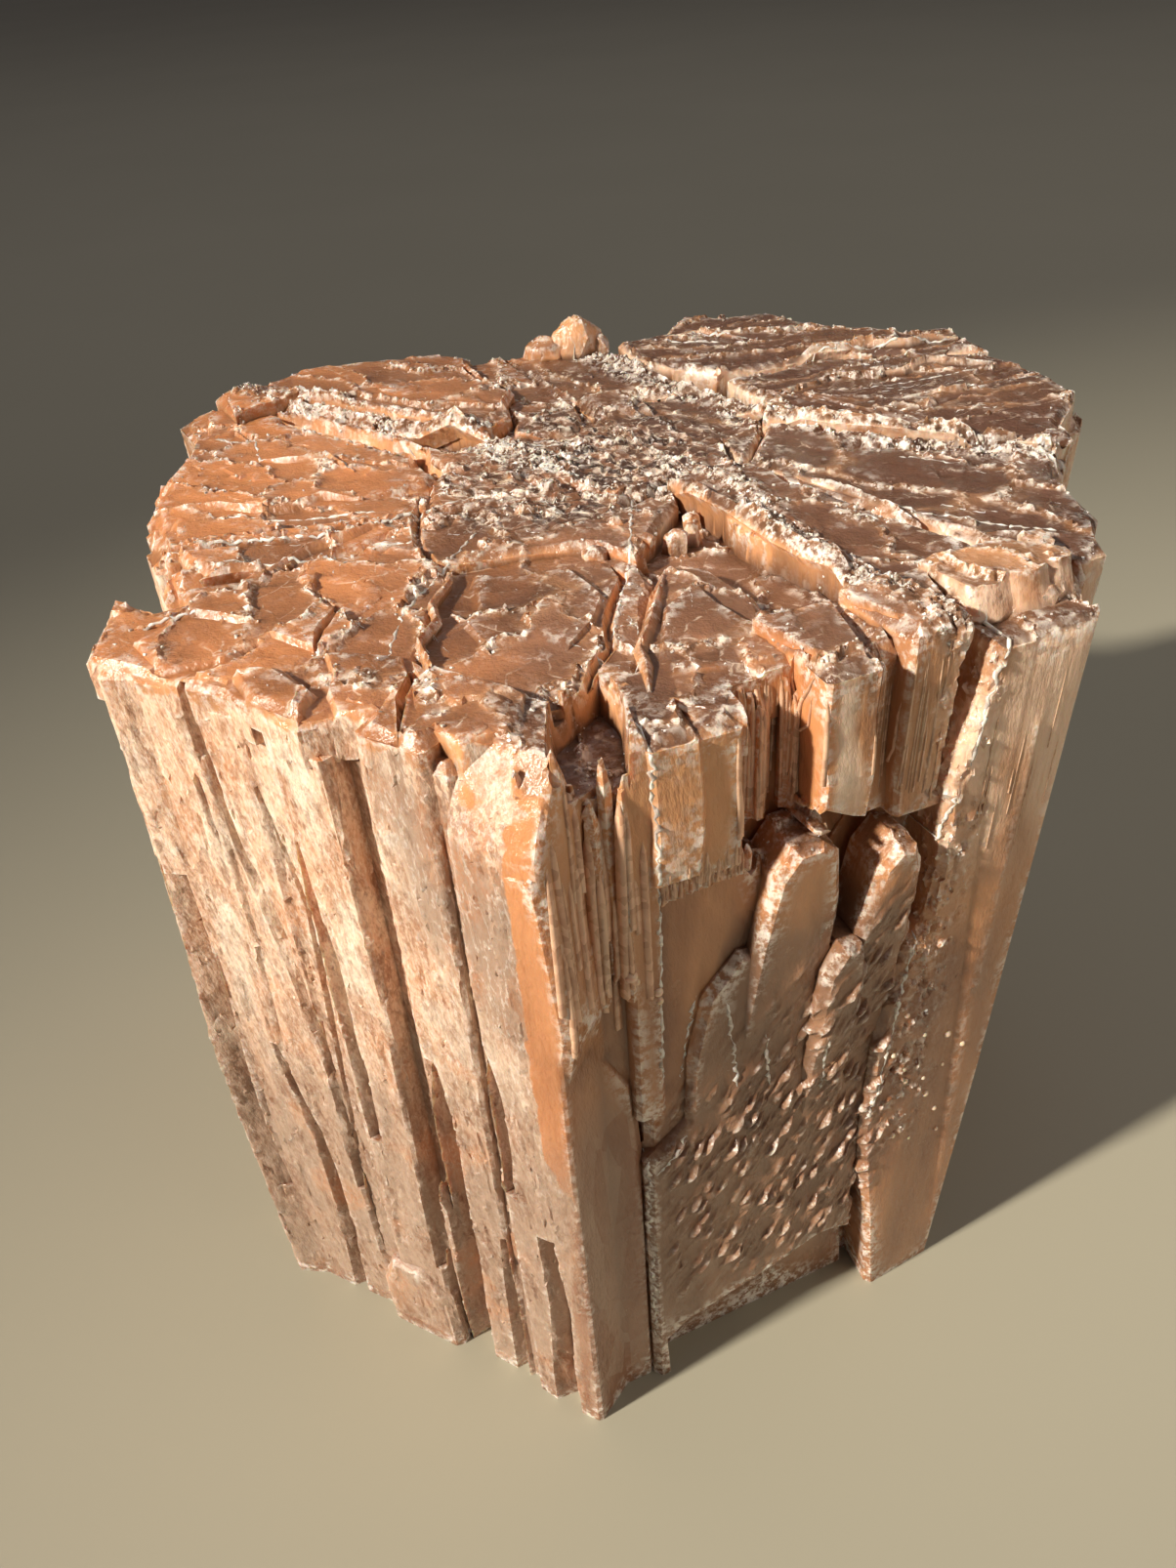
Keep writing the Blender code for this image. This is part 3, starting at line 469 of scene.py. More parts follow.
def run_tree(obj, tree, values):
    """Puts the tree on the object, sets its inputs by identifier, and keeps the result."""
    step = obj.modifiers.new(tree.name, "NODES")
    step.node_group = tree
    for item in tree.interface.items_tree:
        if item.in_out == "INPUT" and item.name in values:
            step[item.identifier] = values[item.name]
    return settle(obj)


print("tree helpers ready")

# %% [markdown]
# ## Relief of the top
# The top is a mosaic of thin plates, each a little higher or lower and tilted its own way, with
# finer steps on them. Sculpting it would take days and could not be changed afterwards, so it is a
# rule: a cell pattern with crumpled borders gives the plates, and a second, finer one the steps. The
# middle is a crust of small blocks. Every height is a named input, in millimetres.

# %% Heights on the top
RELIEF = {
    "Plate Size": (FLOAT, PLATES),
    "Plate Step": (FLOAT, 0.16),
    "Plate Tilt": (FLOAT, 0.09),
    "Block": (FLOAT, 0.26),
    "Band Height": (FLOAT, 0.16),
    "Crack Depth": (FLOAT, 0.6),
    "Fibre": (FLOAT, 0.15),
    "Scale": (FLOAT, 0.055),
    "Bump": (FLOAT, 0.22),
}


def top_relief(at, x, y, size):
    """Height on the top, and the masks that its colours read later."""
    plan = at_point(x, y)
    warped = plan_of(x, y)
    border, tone, tilt = plates_on(warped, size["Plate Size"])
    seams, step, lean = plates_on(warped, size["Plate Size"] * FINER)
    chips = cloud(at, 2.6, 3.0, 0.7)
    middle = middle_of(x, y)
    cleft = at_point(x + 1.1, y + 14.2).vector("LENGTH").ramp(2.6, 1.6)
    patches = cloud(plan, 0.95, 4.0, 0.7).ramp(0.44, 0.60)
    seam = border.ramp(0.07, 0.02) * cloud(plan, 0.33, 2.0).ramp(0.36, 0.52)
    shake = (chips - 0.5) * 1.2
    band = (distance_to(size["Bands"], plan) + shake).ramp(0.95, 0.2)
    crack = (distance_to(size["Cracks"], plan) + shake * 0.4).ramp(0.42, 0.05)
    net = seams.ramp(0.20, 0.04) * 0.9 + 0.1
    granular = middle * patches * net + band * (patches * 0.6 + 0.4) + seam * 0.5 + cleft * 0.2
    granular = granular.clip()
    block = cells(at, 3.0)
    turn = block["Color"].vector("SUBTRACT", (0.5, 0.5, 0.5))
    facet = at.vector("SUBTRACT", block["Position"]).vector("DOT_PRODUCT", turn)
    block_height = block["Color"].parts()[0] - 0.6 + facet * 1.6
    up = (tone - 0.5) * size["Plate Step"] + tilt * size["Plate Tilt"]
    up = up + (step - 0.5) * 0.07 + lean * 0.04 + seam * 0.07
    up = up + (granular + middle * 0.4).clip() * block_height * size["Block"]
    across, along, _ = warped.parts()
    masks = {"plan_u": across, "plan_v": along, "border": border, "tone": tone, "middle": middle}
    return up + band * size["Band Height"] - crack * size["Crack Depth"], granular, masks


print("inputs", *RELIEF)

# %% [markdown]
# ## Relief of the sides
# The sides are laths grown side by side. Noise that is stretched upwards gives their fibres, and
# noise cut into steps gives the scales of the weathered bark. The lower right of the front carries
# small oblique bumps instead, and its right end is crumbly.


# %% Heights on the sides
def side_relief(at, x, y, z, size):
    """Height out from the sides, how bark-like they are, and how crumbly the right column is."""
    left, right = regions(x, y)
    slanted = x + z * SLANT
    fibre = cloud(at_point(slanted, y, z * 0.06), 1.6, 5.0, 0.7) - 0.5
    strand = cloud(at_point(x, y, z * 0.03), 4.4, 2.0, 0.6) - 0.5
    flakes = cloud(at_point(slanted, y, z * 0.3), 0.95, 3.0, 0.6, 0.8) * 4.0
    saw = flakes.math("FRACT")
    pits = cloud(at_point(slanted, y, z * 0.5), 3.4, 3.0, 0.7) - 0.5
    patch = cloud(at_point(x, y, z * 0.12), 0.5, 4.0, 0.65).ramp(0.46, 0.64)
    bark = (left + (-(left + right) + 1.0).clip() * patch * 0.7).clip()
    s = along_front(x, y)
    ribbed = ribbed_blocks(s, z) * 0.5
    knob = knob_of(z)
    strip = (along_left(x, y) + pits * 0.6).ramp(13.45, 13.75) * z.ramp(28.6, 27.8)
    strip = strip * (z + cloud(at, 0.5, 3.0) * 8.0).ramp(18.0, 20.0)
    bark = bark * (z + cloud(at, 0.5, 3.0) * 5.0).ramp(32.2, 30.6) * (-knob - strip + 1.0).clip()
    out = fibre * size["Fibre"] * (bark * 0.7 + 0.3) * (right * -0.55 + 1.0)
    out = out + (saw * saw - 0.4) * size["Scale"] * bark + pits * 0.04 * (bark + 0.2)
    out = (out + strand * 0.16 * (right * ribbed + (-right + 1.0) * 0.5)) * (-knob * 0.7 + 1.0)
    column = s.ramp(11.7, 12.3) * (s + cloud(at, 0.8, 2.0) * 3.0).ramp(16.2, 14.6) * z.ramp(8.0, 11.0)
    crumbs = (column * cloud(at, 1.5, 3.0, 0.7).ramp(0.42, 0.60) * right).clip()
    out = out + crumbs * pits * 0.9
    return out + oblique_bumps(s, z) * size["Bump"] * right, bark, crumbs


print("side relief defined")

# %% [markdown]
# ## The relief tree
# One tree moves every point: upwards on the top, outwards on the sides, and nowhere on the base. It
# also stores its masks on the points, where the colours and the scattered chips read them. A stored
# mask costs a shader far less than noise that it has to work out again.


# %% Run the relief
def relief_tree():
    lines = {name: (OBJECT, None) for name in DRAWN}
    tree, geometry, size, end = new_tree("relief", {**RELIEF, **lines})
    place = Field(tree, tree.nodes.new("GeometryNodeInputPosition").outputs[0])
    normal = Field(tree, tree.nodes.new("GeometryNodeInputNormal").outputs[0])
    x, y, z = straightened(place.vector("SCALE", 1 / MM))
    at = at_point(x, y, z)
    slope = normal.parts()[2]
    top = slope.ramp(0.45, 0.8) * z.ramp(20.0, 25.0)
    side = slope.math("ABSOLUTE").ramp(0.85, 0.5) * z.ramp(0.05, 1.2)
    up, granular, masks = top_relief(at, x, y, size)
    out, bark, crumbs = side_relief(at, x, y, z, size)
    masks["granular"] = granular * top + crumbs * side * 0.42
    masks["top"] = top
    masks["bark"] = bark * side
    masks["soft"] = cloud(at, 0.35, 3.0, 0.6)
    masks["drifts"] = cloud(at_point(x, y, z * 0.4), 0.55, 4.0, 0.6)
    for name, mask in masks.items():
        geometry = keep(geometry, name, mask)
    rise = at_point(up * 0.0, 0.0, up * top * MM)
    shift = add_node(tree, "GeometryNodeSetPosition", Geometry=geometry)
    feed(shift.inputs["Offset"], normal.vector("SCALE", out * side * MM).vector("ADD", rise))
    feed(end.inputs["Geometry"], Field(tree, shift.outputs[0]))
    return tree


run_tree(stone, relief_tree(), drawings)
for drawing in drawings.values():
    bpy.data.objects.remove(drawing)
points = np.zeros(len(stone.data.vertices) * 3)
stone.data.vertices.foreach_get("co", points)
points[2::3] = np.maximum(points[2::3], 0.0)
stone.data.vertices.foreach_set("co", points)
print("relief", len(stone.data.vertices), "vertices")

# %% [markdown]
# ## Down to fewer triangles
# Even triangles are wasteful where a plate is smooth. Decimate by collapse keeps them at the seams
# and fibres and takes them from the flats. The sharpest edges that are left are marked, so that
# smooth shading doesn't round them.

# %% Thin out
MOST = 196000
CRISP = 36                  # degrees: edges sharper than this stay crisp


def thin(obj, most):
    """At most this many triangles."""
    count = sum(len(face.vertices) - 2 for face in obj.data.polygons)
    step = obj.modifiers.new("thin", "DECIMATE")
    step.ratio = min(1.0, most / count)
    step.use_collapse_triangulate = True
    settle(obj)
    print(obj.name, count, "->", len(obj.data.polygons), "triangles")


thin(stone, MOST)
stone.data.shade_smooth()
stone.data.set_sharp_from_angle(angle=math.radians(CRISP))

# %% [markdown]
# ## Edges and hollows
# Broken edges of aragonite look pale, because light scatters in their many small cracks; their white is also
# partly a painted highlight, where edges catch the lamp. The hollows between laths are given painted shade:
# their colour is darkened where shade falls. How much a point stands out from its neighbours tells both. It
# is worked out once, from the finished mesh: over a short reach for edges, so that they stay thin, and over a
# longer one for hollows.


# %% Mark edges and hollows
class Skin:
    """The vertices of the finished mesh, their facing, and who is whose neighbour."""

    def __init__(self, mesh):
        count = len(mesh.vertices)
        spot = np.zeros(count * 3)
        mesh.vertices.foreach_get("co", spot)
        facing = np.zeros(count * 3)
        mesh.vertex_normals.foreach_get("vector", facing)
        ends = np.zeros(len(mesh.edges) * 2, np.int64)
        mesh.edges.foreach_get("vertices", ends)
        self.mesh = mesh
        self.spot = spot.reshape(-1, 3) / MM
        self.facing = facing.reshape(-1, 3)
        self.a, self.b = ends.reshape(-1, 2).T

    def mean(self, values):
        """The average over each vertex's neighbours."""
        total = np.empty_like(values)
        count = len(values)
        for axis in range(3):
            one_way = np.bincount(self.a, values[self.b, axis], count)
            total[:, axis] = one_way + np.bincount(self.b, values[self.a, axis], count)
        return total / np.bincount(np.concatenate((self.a, self.b)), minlength=count)[:, None]

    def stand_out(self, rounds):
        """How far each vertex lies outside the average of its surroundings, in millimetres."""
        around = self.spot
        for _ in range(rounds):
            around = self.mean(around)
        return ((self.spot - around) * self.facing).sum(1)

    def store(self, name, values):
        layer = self.mesh.attributes.new(name, "FLOAT", "POINT")
        layer.data.foreach_set("value", np.clip(values, 0.0, 1.0))
        print(name, "on", round(float((values > 0.5).mean()), 3), "of the vertices")


EDGE_ROUNDS = 2             # rounds of averaging: their number sets the reach
HOLLOW_ROUNDS = 9
EDGE_FROM, EDGE_SPAN = 0.02, 0.09           # where each mask starts and how far it rises, in mm
HOLLOW_FROM, HOLLOW_SPAN = 0.03, 0.30
skin = Skin(stone.data)
skin.store("edge", (skin.stand_out(EDGE_ROUNDS) - EDGE_FROM) / EDGE_SPAN)
skin.store("hollow", (-skin.stand_out(HOLLOW_ROUNDS) - HOLLOW_FROM) / HOLLOW_SPAN)

# %% [markdown]
# ## One set of colours
# Nearly all of the crystal is one stone, seen in different states: weathered cream and peach on the bark, tan
# and brown on the plates, honey and rust on the laths, amber where it is thin, and white where it is broken.
# Some of this is painted light: the honey at the thin borders of plates is a painted glow, the white of
# broken edges and seams is partly a painted highlight, and hollows and the gaps between grains are darkened
# as painted shade. So there is a single node group for its colour, which reads the stored masks, and both
# finishes of the body use it. Where they meet, their colours then agree. Its second output is a fine relief,
# which only the bump reads.

# %% Shared shader groups
CREAM = (0.94, 0.76, 0.58, 1.0)
PEACH = (0.82, 0.51, 0.33, 1.0)
TAN = (0.42, 0.20, 0.105, 1.0)
BROWN = (0.13, 0.058, 0.030, 1.0)
UMBER = (0.045, 0.022, 0.013, 1.0)
AMBER = (0.62, 0.25, 0.095, 1.0)
DUSK = (0.31, 0.175, 0.105, 1.0)
GREY = (0.40, 0.27, 0.19, 1.0)
HONEY = (0.84, 0.43, 0.20, 1.0)
RUST = (0.25, 0.098, 0.047, 1.0)
WHITE = (0.95, 0.88, 0.78, 1.0)
VECTOR = "NodeSocketVector"
COLOUR = "NodeSocketColor"


def new_group(name, inputs, outputs):
    """A shader node group with named sockets."""
    group = bpy.data.node_groups.new(name, "ShaderNodeTree")
    for label, (kind, value) in inputs.items():
        socket = group.interface.new_socket(label, in_out="INPUT", socket_type=kind)
        if value is not None:
            socket.default_value = value
    for label, kind in outputs.items():
        group.interface.new_socket(label, in_out="OUTPUT", socket_type=kind)
    start = group.nodes.new("NodeGroupInput")
    end = group.nodes.new("NodeGroupOutput")
    return group, {label: Field(group, start.outputs[label]) for label in inputs}, end


def use_group(tree, group, **values):
    """Places a group and returns its outputs by name."""
    node = tree.nodes.new("ShaderNodeGroup")
    node.node_tree = group
    for label, value in values.items():
        feed(node.inputs[label], value)
    return {out.name: Field(tree, out) for out in node.outputs}


def mixed(low, high, factor):
    """Two colours mixed by a field, which the node itself keeps between 0 and 1."""
    node = add_node(factor.tree, "ShaderNodeMix", {"data_type": "RGBA"})
    for slot, value in ((0, factor), (6, low), (7, high)):
        feed(node.inputs[slot], value)
    return Field(factor.tree, node.outputs[2])


def attribute(tree, name):
    """A mask that was stored on the mesh."""
    node = add_node(tree, "ShaderNodeAttribute", {"attribute_name": name})
    return Field(tree, node.outputs["Fac"])


mottling, put, end = new_group(
    "mottling",
    {
        "Place": (VECTOR, None), "Size": (FLOAT, 1.3), "Stretch": (FLOAT, 0.36), "Slant": (FLOAT, BARK_SLANT),
        "Low": (FLOAT, 0.40), "High": (FLOAT, 0.58),
    },
    {"Mask": FLOAT},
)
x, y, z = put["Place"].parts()
slanted = at_point(x + z * put["Slant"], y, z * put["Stretch"])
patchy = cloud(slanted, put["Size"], 3.0, 0.72, 0.4)
spread = (patchy - put["Low"]).math("DIVIDE", put["High"] - put["Low"]).clip()
feed(end.inputs["Mask"], spread)

facets, put, end = new_group(
    "facets",
    {
        "Place": (VECTOR, None), "Size": (FLOAT, 4.0), "Lean": (FLOAT, 0.4), "Grain": (FLOAT, 8.0),
        "Stretch": (FLOAT, 1.0), "Depth": (FLOAT, 0.3), "Relief": (FLOAT, 0.0),
    },
    {"Normal": VECTOR},
)
cell = cells(put["Place"], put["Size"])["Color"].vector("SUBTRACT", (0.5, 0.5, 0.5))
facing = Field(facets, add_node(facets, "ShaderNodeNewGeometry").outputs["Normal"])
leaning = facing.vector("ADD", cell.vector("SCALE", put["Lean"])).vector("NORMALIZE")
x, y, z = put["Place"].parts()
grain = cloud(at_point(x + z * SLANT, y, z * put["Stretch"]), put["Grain"], 4.0, 0.65)
DEEPEST = 0.1               # how high, in millimetres, a bump of height 1 stands
bump = add_node(
    facets, "ShaderNodeBump", Strength=1.0, Distance=DEEPEST * MM, Normal=leaning,
    Height=grain * put["Depth"] + put["Relief"],
)
feed(end.inputs["Normal"], Field(facets, bump.outputs[0]))


print("groups", mottling.name, facets.name)

# %% [markdown]
# ## The colour of the bark
# The left front is weathered: pale cream and peach with grey-brown streaks, flecks and fine marks
# that all lean with the laths. Those three are one mottling at three sizes, so the shared group is
# placed three times.

# %% Bark
BARK_MARKS = {
    "streaks": {"Size": 1.5, "Stretch": 0.26, "Low": 0.46, "High": 0.56},
    "flecks": {"Size": 5.2, "Stretch": 0.42, "Low": 0.43, "High": 0.54},
    "fine": {"Size": 11.0, "Stretch": 0.4, "Low": 0.40, "High": 0.60},
}


def bark_colour(group, at):
    """Weathered cream and peach, crossed by slanted grey-brown streaks, darker towards the foot."""
    x, y, z = at.parts()
    streaks, flecks, fine = (
        use_group(group, mottling, Place=at, **mark)["Mask"] for mark in BARK_MARKS.values()
    )
    wide = attribute(group, "drifts").ramp(0.42, 0.58)
    drift = attribute(group, "soft")
    along = along_left(x, y)
    low = (z + drift * 12.0).ramp(29.0, 15.0)
    by_corner = (along + drift * 4.0).ramp(9.0, 14.0)
    dull = (along + drift * 2.0).ramp(10.0, 11.4) * (z + along * 0.9).ramp(31.0, 33.5)
    dull = dull * (z + along * 0.7 + flecks * 2.0).ramp(38.8, 37.0)
    pale = mixed(PEACH, CREAM, wide * 0.7 + fine * 0.4 + drift * 0.3 - 0.1)
    pale = mixed(pale, GREY, low * 0.92 + by_corner * 0.30 + dull * 0.7)
    dark = mixed(TAN, BROWN, low * 0.65 + by_corner * 0.15)
    dark = mixed(dark, GREY, wide * 0.8)
    marked = mixed(dark, pale, streaks * 0.50 + flecks * 0.40 + fine * 0.40)
    slanted = at_point(x + z * BARK_SLANT, y, z * 0.3)
    crests = (cloud(slanted, 1.6, 3.0, 0.65) - 0.5).math("ABSOLUTE").ramp(0.035, 0.0)
    marked = mixed(marked, AMBER, drift.ramp(0.50, 0.62) * (-fine * 0.5 + 0.7) * 0.6)
    return mixed(marked, WHITE, crests * (-low * 0.4 + 0.5) * (fine * 0.8))


print("bark marks", *BARK_MARKS)

# %% [markdown]
# ## The colour of the plates
# Plates are milky brown and darker towards the back, with a painted glow of honey at their thin borders, and
# pale along broken ones. The same cells as in the relief are used, so a pale line lies on the step it belongs
# to.


# %% Plates
def plate_colour(group, x, y, broken):
    """Milky plates, dark in the crushed middle and at the back, with pale broken borders."""
    plan = at_point(attribute(group, "plan_u"), attribute(group, "plan_v"))
    border = attribute(group, "border")
    tone = attribute(group, "tone")
    soft = attribute(group, "soft")
    middle = attribute(group, "middle")
    step, step_tone, _ = plates_on(plan, PLATES * FINER)
    tiny, tiny_tone, _ = plates_on(plan, TINY)
    back = (x * 0.8 + y * 0.5).ramp(-1.0, 8.0)
    left = ((-x).ramp(-2.0, 12.0) + (-y).ramp(6.0, 16.0) * 0.2 + soft * 1.2 - 0.75).clip()
    plates = mixed(BROWN, TAN, tone * 0.6 + soft * 0.7 - back * 0.55 + step_tone * 0.15 - 0.50)
    plates = mixed(plates, AMBER, left * (tone * 0.7 + 0.5))
    # painted glow: plates turn honey towards their thin borders, as if light shone through them
    plates = mixed(plates, HONEY, border.ramp(0.12, 0.0) * (-middle + 1.0) * 0.30)
    loose = (middle * 0.8 + attribute(group, "granular")).clip()
    crushed = mixed(UMBER, TAN, tiny_tone * 0.9 - 0.15 + (broken - 0.5) * 0.8)
    plates = mixed(plates, crushed, loose * 0.85)
    patchy = attribute(group, "drifts").ramp(0.45, 0.60)
    lines = step.ramp(0.05, 0.012) * (patchy * 0.8 + middle * 0.4) + border.ramp(0.035, 0.01) * 0.6
    lines = (lines * 0.7 + tiny.ramp(0.12, 0.04) * loose) * broken.ramp(0.42, 0.60)
    height = (step_tone * 0.4 + border.ramp(0.05, 0.0) * 0.5) * (patchy * 0.7 + 0.2)
    return mixed(plates, CREAM, lines * 0.85), height + tiny_tone * loose * 1.2


print("plates", PLATES, "and steps", round(PLATES * FINER, 2), "to a millimetre")

# %% [markdown]
# ## The colour of the laths
# The right front is cut through fresh stone, so it changes from place to place: a smooth honey face
# above the overhang, an amber recess beside it, pale ribbed blocks, and a dusky broad face with small
# oblique bumps below. Each has a mask from how far along the face and how high it is.


# %% Laths
def lath_colour(group, x, y, z):
    """Reddish laths, an amber recess and corner, and a dusky broad face, on the right front."""
    s = along_front(x, y)
    grey = attribute(group, "drifts")
    strips = cloud(at_point(x, y, z * 0.02), 3.2, 2.0, 0.6)
    laths = mixed(RUST, HONEY, grey * 1.6 + strips * 0.15 + z.ramp(14.0, 28.0) * 0.40 - 0.66)
    recess = s.ramp(5.4, 6.2) * s.ramp(8.8, 8.0) * z.ramp(23.5, 25.5)
    corner = s.ramp(0.9, -0.2) * along_left(x, y).ramp(12.0, 12.6) * z.ramp(12.0, 18.0) * (grey + 0.1)
    column = s.ramp(11.5, 13.5) * z.ramp(20.0, 25.0)
    foot = z.ramp(19.0, 14.0) * s.ramp(3.2, 2.6)
    patches = cells(at_point(x * 1.3, y * 1.3, z * 0.45 + grey * 3.0), 0.8)["Color"].parts()[0]
    laths = mixed(laths, mixed(RUST, GREY, grey * 1.8 + patches * 0.8 - 0.9), foot * 0.85)
    laths = mixed(laths, AMBER, recess * (strips * 0.9 + 0.4))
    laths = mixed(laths, AMBER, corner)
    laths = mixed(laths, mixed(PEACH, CREAM, strips), column * grey.ramp(0.36, 0.52) * 0.85)
    smooth = s.ramp(3.3, 3.7) * s.ramp(6.4, 5.6) * z.ramp(24.0, 25.0)
    laths = mixed(laths, HONEY, smooth * 0.55)
    crust = s.ramp(8.5, 8.8) * s.ramp(10.0, 9.3) * z.ramp(24.5, 25.5)
    laths = mixed(laths, CREAM, crust * grey.ramp(0.42, 0.56) * 0.75)
    under = (z - s.ramp(2.8, 6.5) * 8.5 + attribute(group, "soft") * 2.0).ramp(15.5, 13.5)
    broad = s.ramp(2.4, 3.2) * s.ramp(12.4, 11.2) * under
    laths = mixed(laths, mixed(BROWN, DUSK, grey * 1.8 - 0.2), broad * 0.85)
    bumps = oblique_bumps(s, z)
    laths = mixed(laths, GREY, bumps.ramp(0.3, 0.9) * 0.4)
    ribbed = ribbed_blocks(s, z) + recess + column
    return laths, strips * 0.45 * ribbed.clip() + bumps * 1.1 + patches * foot * 0.6


print("laths along", ALONG, "from", CORNER)

# %% [markdown]
# ## One colour for the whole stone
# The group puts the three together by the stored masks. Then the seams get painted shade as dark gaps between
# grains, and white chips that are partly painted glints; broken edges turn white, partly as a painted
# highlight; and hollows get painted shade in brown, whichever part they are on.

# %% The stone's colour
PLACE = {"Place": (VECTOR, None)}
stone_colour, put, end = new_group("stone colour", PLACE, {"Colour": COLOUR, "Relief": FLOAT})
at = put["Place"]
x, y, z = at.parts()
top = attribute(stone_colour, "top")
granular = attribute(stone_colour, "granular")
edge = attribute(stone_colour, "edge")
hollow = attribute(stone_colour, "hollow")
broken = cloud(at, 3.0, 3.0, 0.7)
bark = (attribute(stone_colour, "bark") + (broken - 0.5) * 0.5).ramp(0.35, 0.6)
plates, plate_height = plate_colour(stone_colour, x, y, broken)
laths, lath_height = lath_colour(stone_colour, x, y, z)
glassy = mixed(mixed(laths, plates, top), HONEY, knob_of(z) * 0.8)
base = mixed(glassy, bark_colour(stone_colour, at), bark)
# painted shade: dark umber in the gaps between the grains of the granular seams
shade_between_grains = granular * broken.ramp(0.50, 0.38) * 0.6
# white on the seams' grains and on broken edges: partly the stone's own pale broken white, partly a painted
# highlight where grains and edges catch the light
pale_grains_and_highlights = granular * broken.ramp(0.46, 0.58) * 0.8 + edge * broken.ramp(0.42, 0.62) * 0.8
base = mixed(mixed(base, UMBER, shade_between_grains), WHITE, pale_grains_and_highlights)
# painted shade: the hollows are darkened to brown, where shade falls between the laths
feed(end.inputs["Colour"], mixed(base, BROWN, hollow * 0.85))
feed(end.inputs["Relief"], between(lath_height, plate_height, top) * (-bark + 1.0))
print("group", stone_colour.name, "with", len(stone_colour.nodes), "nodes")

# %% [markdown]
# ## Stone that lets light in
# Brown aragonite is neither glass nor chalk. Light goes a little way into it, loses its blue, and
# comes out orange at thin edges: that is subsurface scattering with a red that reaches furthest.
# The weathered bark of the left front lets less in than the smooth plates and laths and is duller,
# so it is a finish of its own.


# %% Two finishes for the body
REACHES = (1.0, 0.42, 0.16)  # how far red, green and blue go into the stone, next to each other
BENDING = 1.6                # the refractive index of aragonite, between its three values
BARK_FROM = 0.45             # the share of bark from which a triangle is bark


def new_material(name):
    """A material, its shader, and the place on the object."""
    material = bpy.data.materials.new(name)
    material.use_nodes = True
    tree = material.node_tree
    place = Field(tree, tree.nodes.new("ShaderNodeTexCoord").outputs["Object"])
    return material, tree.nodes["Principled BSDF"], place


def stone_shader(name, deep, reach):
    """A new material with its place in millimetres, and its light-scattering set on the shader."""
    material, shader, place = new_material(name)
    shader.inputs["Subsurface Weight"].default_value = deep
    shader.inputs["Subsurface Radius"].default_value = REACHES
    shader.inputs["Subsurface Scale"].default_value = reach * MM
    shader.inputs["IOR"].default_value = BENDING
    return material, place.tree, shader, at_point(*straightened(place.vector("SCALE", 1 / MM)))


def glassy_material():
    material, tree, shader, at = stone_shader("glassy brown aragonite", 0.28, 0.4)
    out = use_group(tree, stone_colour, Place=at)
    feed(shader.inputs["Base Color"], out["Colour"])
    feed(shader.inputs["Roughness"], (cloud(at, 1.5, 3.0) * 0.36 + 0.02).clip())
    loose = attribute(tree, "granular") * 0.6 + attribute(tree, "edge") * 0.4 + 0.08
    lean = use_group(
        tree, facets, Place=at, Size=4.5, Lean=loose, Grain=6.0, Stretch=0.35, Depth=0.5,
        Relief=out["Relief"],
    )
    feed(shader.inputs["Normal"], lean["Normal"])
    return material


def bark_material():
    material, tree, shader, at = stone_shader("weathered bark", 0.2, 0.4)
    out = use_group(tree, stone_colour, Place=at)
    feed(shader.inputs["Base Color"], out["Colour"])
    feed(shader.inputs["Roughness"], cloud(at, 2.0, 3.0) * 0.3 + 0.32)
    lean = use_group(tree, facets, Place=at, Size=3.2, Lean=0.16, Grain=6.0, Stretch=0.4, Depth=0.6)
    feed(shader.inputs["Normal"], lean["Normal"])
    return material


def set_finishes(obj, glassy, bark):
    """The second finish where the stored bark mask says so."""
    obj.data.materials.clear()
    obj.data.materials.append(glassy)
    obj.data.materials.append(bark)
    mask = np.zeros(len(obj.data.vertices))
    obj.data.attributes["bark"].data.foreach_get("value", mask)
    corners = np.zeros(len(obj.data.loops), np.int64)
    obj.data.loops.foreach_get("vertex_index", corners)
    barky = mask[corners].reshape(-1, 3).mean(1) > BARK_FROM
    obj.data.polygons.foreach_set("material_index", barky.astype(np.int32))
    print("bark on", round(float(barky.mean()), 2), "of the triangles")


set_finishes(stone, glassy_material(), bark_material())

# %% [markdown]
# ## Loose chips
# The seams, the middle and the bands glitter, because they are lined with chips, most of them under
# a tenth of a millimetre across. One chip is modelled as a block with its corners knocked about, and
# Geometry Nodes scatter it over the granular parts and the broken edges of the top, each turned its
# own way. Each has only twelve faces, since there are thousands.


# %% One chip
def one_chip(material):
    """An uneven block, one unit long, as a pattern for scattering."""
    chance = random.Random(5)
    corners = [(x, y, z) for x in (-0.5, 0.5) for y in (-0.36, 0.36) for z in (-0.3, 0.3)]
    corners = [tuple(v * chance.uniform(0.55, 1.2) for v in corner) for corner in corners]
    sides = ((0, 1, 3, 2), (4, 6, 7, 5), (0, 4, 5, 1), (2, 3, 7, 6), (0, 2, 6, 4), (1, 5, 7, 3))
    mesh = bpy.data.meshes.new("chip")
    mesh.from_pydata(corners, [], [tri for a, b, c, d in sides for tri in ((a, b, c), (a, c, d))])
    mesh.materials.append(material)
    return new_object("chip", mesh)


FULL_TURN = 6.28
SCATTER = {
    "Skin": (OBJECT, None),
    "Chip": (OBJECT, None),
    "Seam Density": (FLOAT, 34.0),
    "Edge Density": (FLOAT, 5.0),
    "Smallest": (FLOAT, 0.03),
    "Largest": (FLOAT, 0.14),
    "Material": (MATERIAL, None),
}


def random_between(tree, kind, low, high, seed):
    node = add_node(tree, "FunctionNodeRandomValue", {"data_type": kind})
    slots = [slot for slot in node.inputs if slot.enabled]
    feed(slots[0], low)
    feed(slots[1], high)
    node.inputs["Seed"].default_value = seed
    return Field(tree, next(slot for slot in node.outputs if slot.enabled))


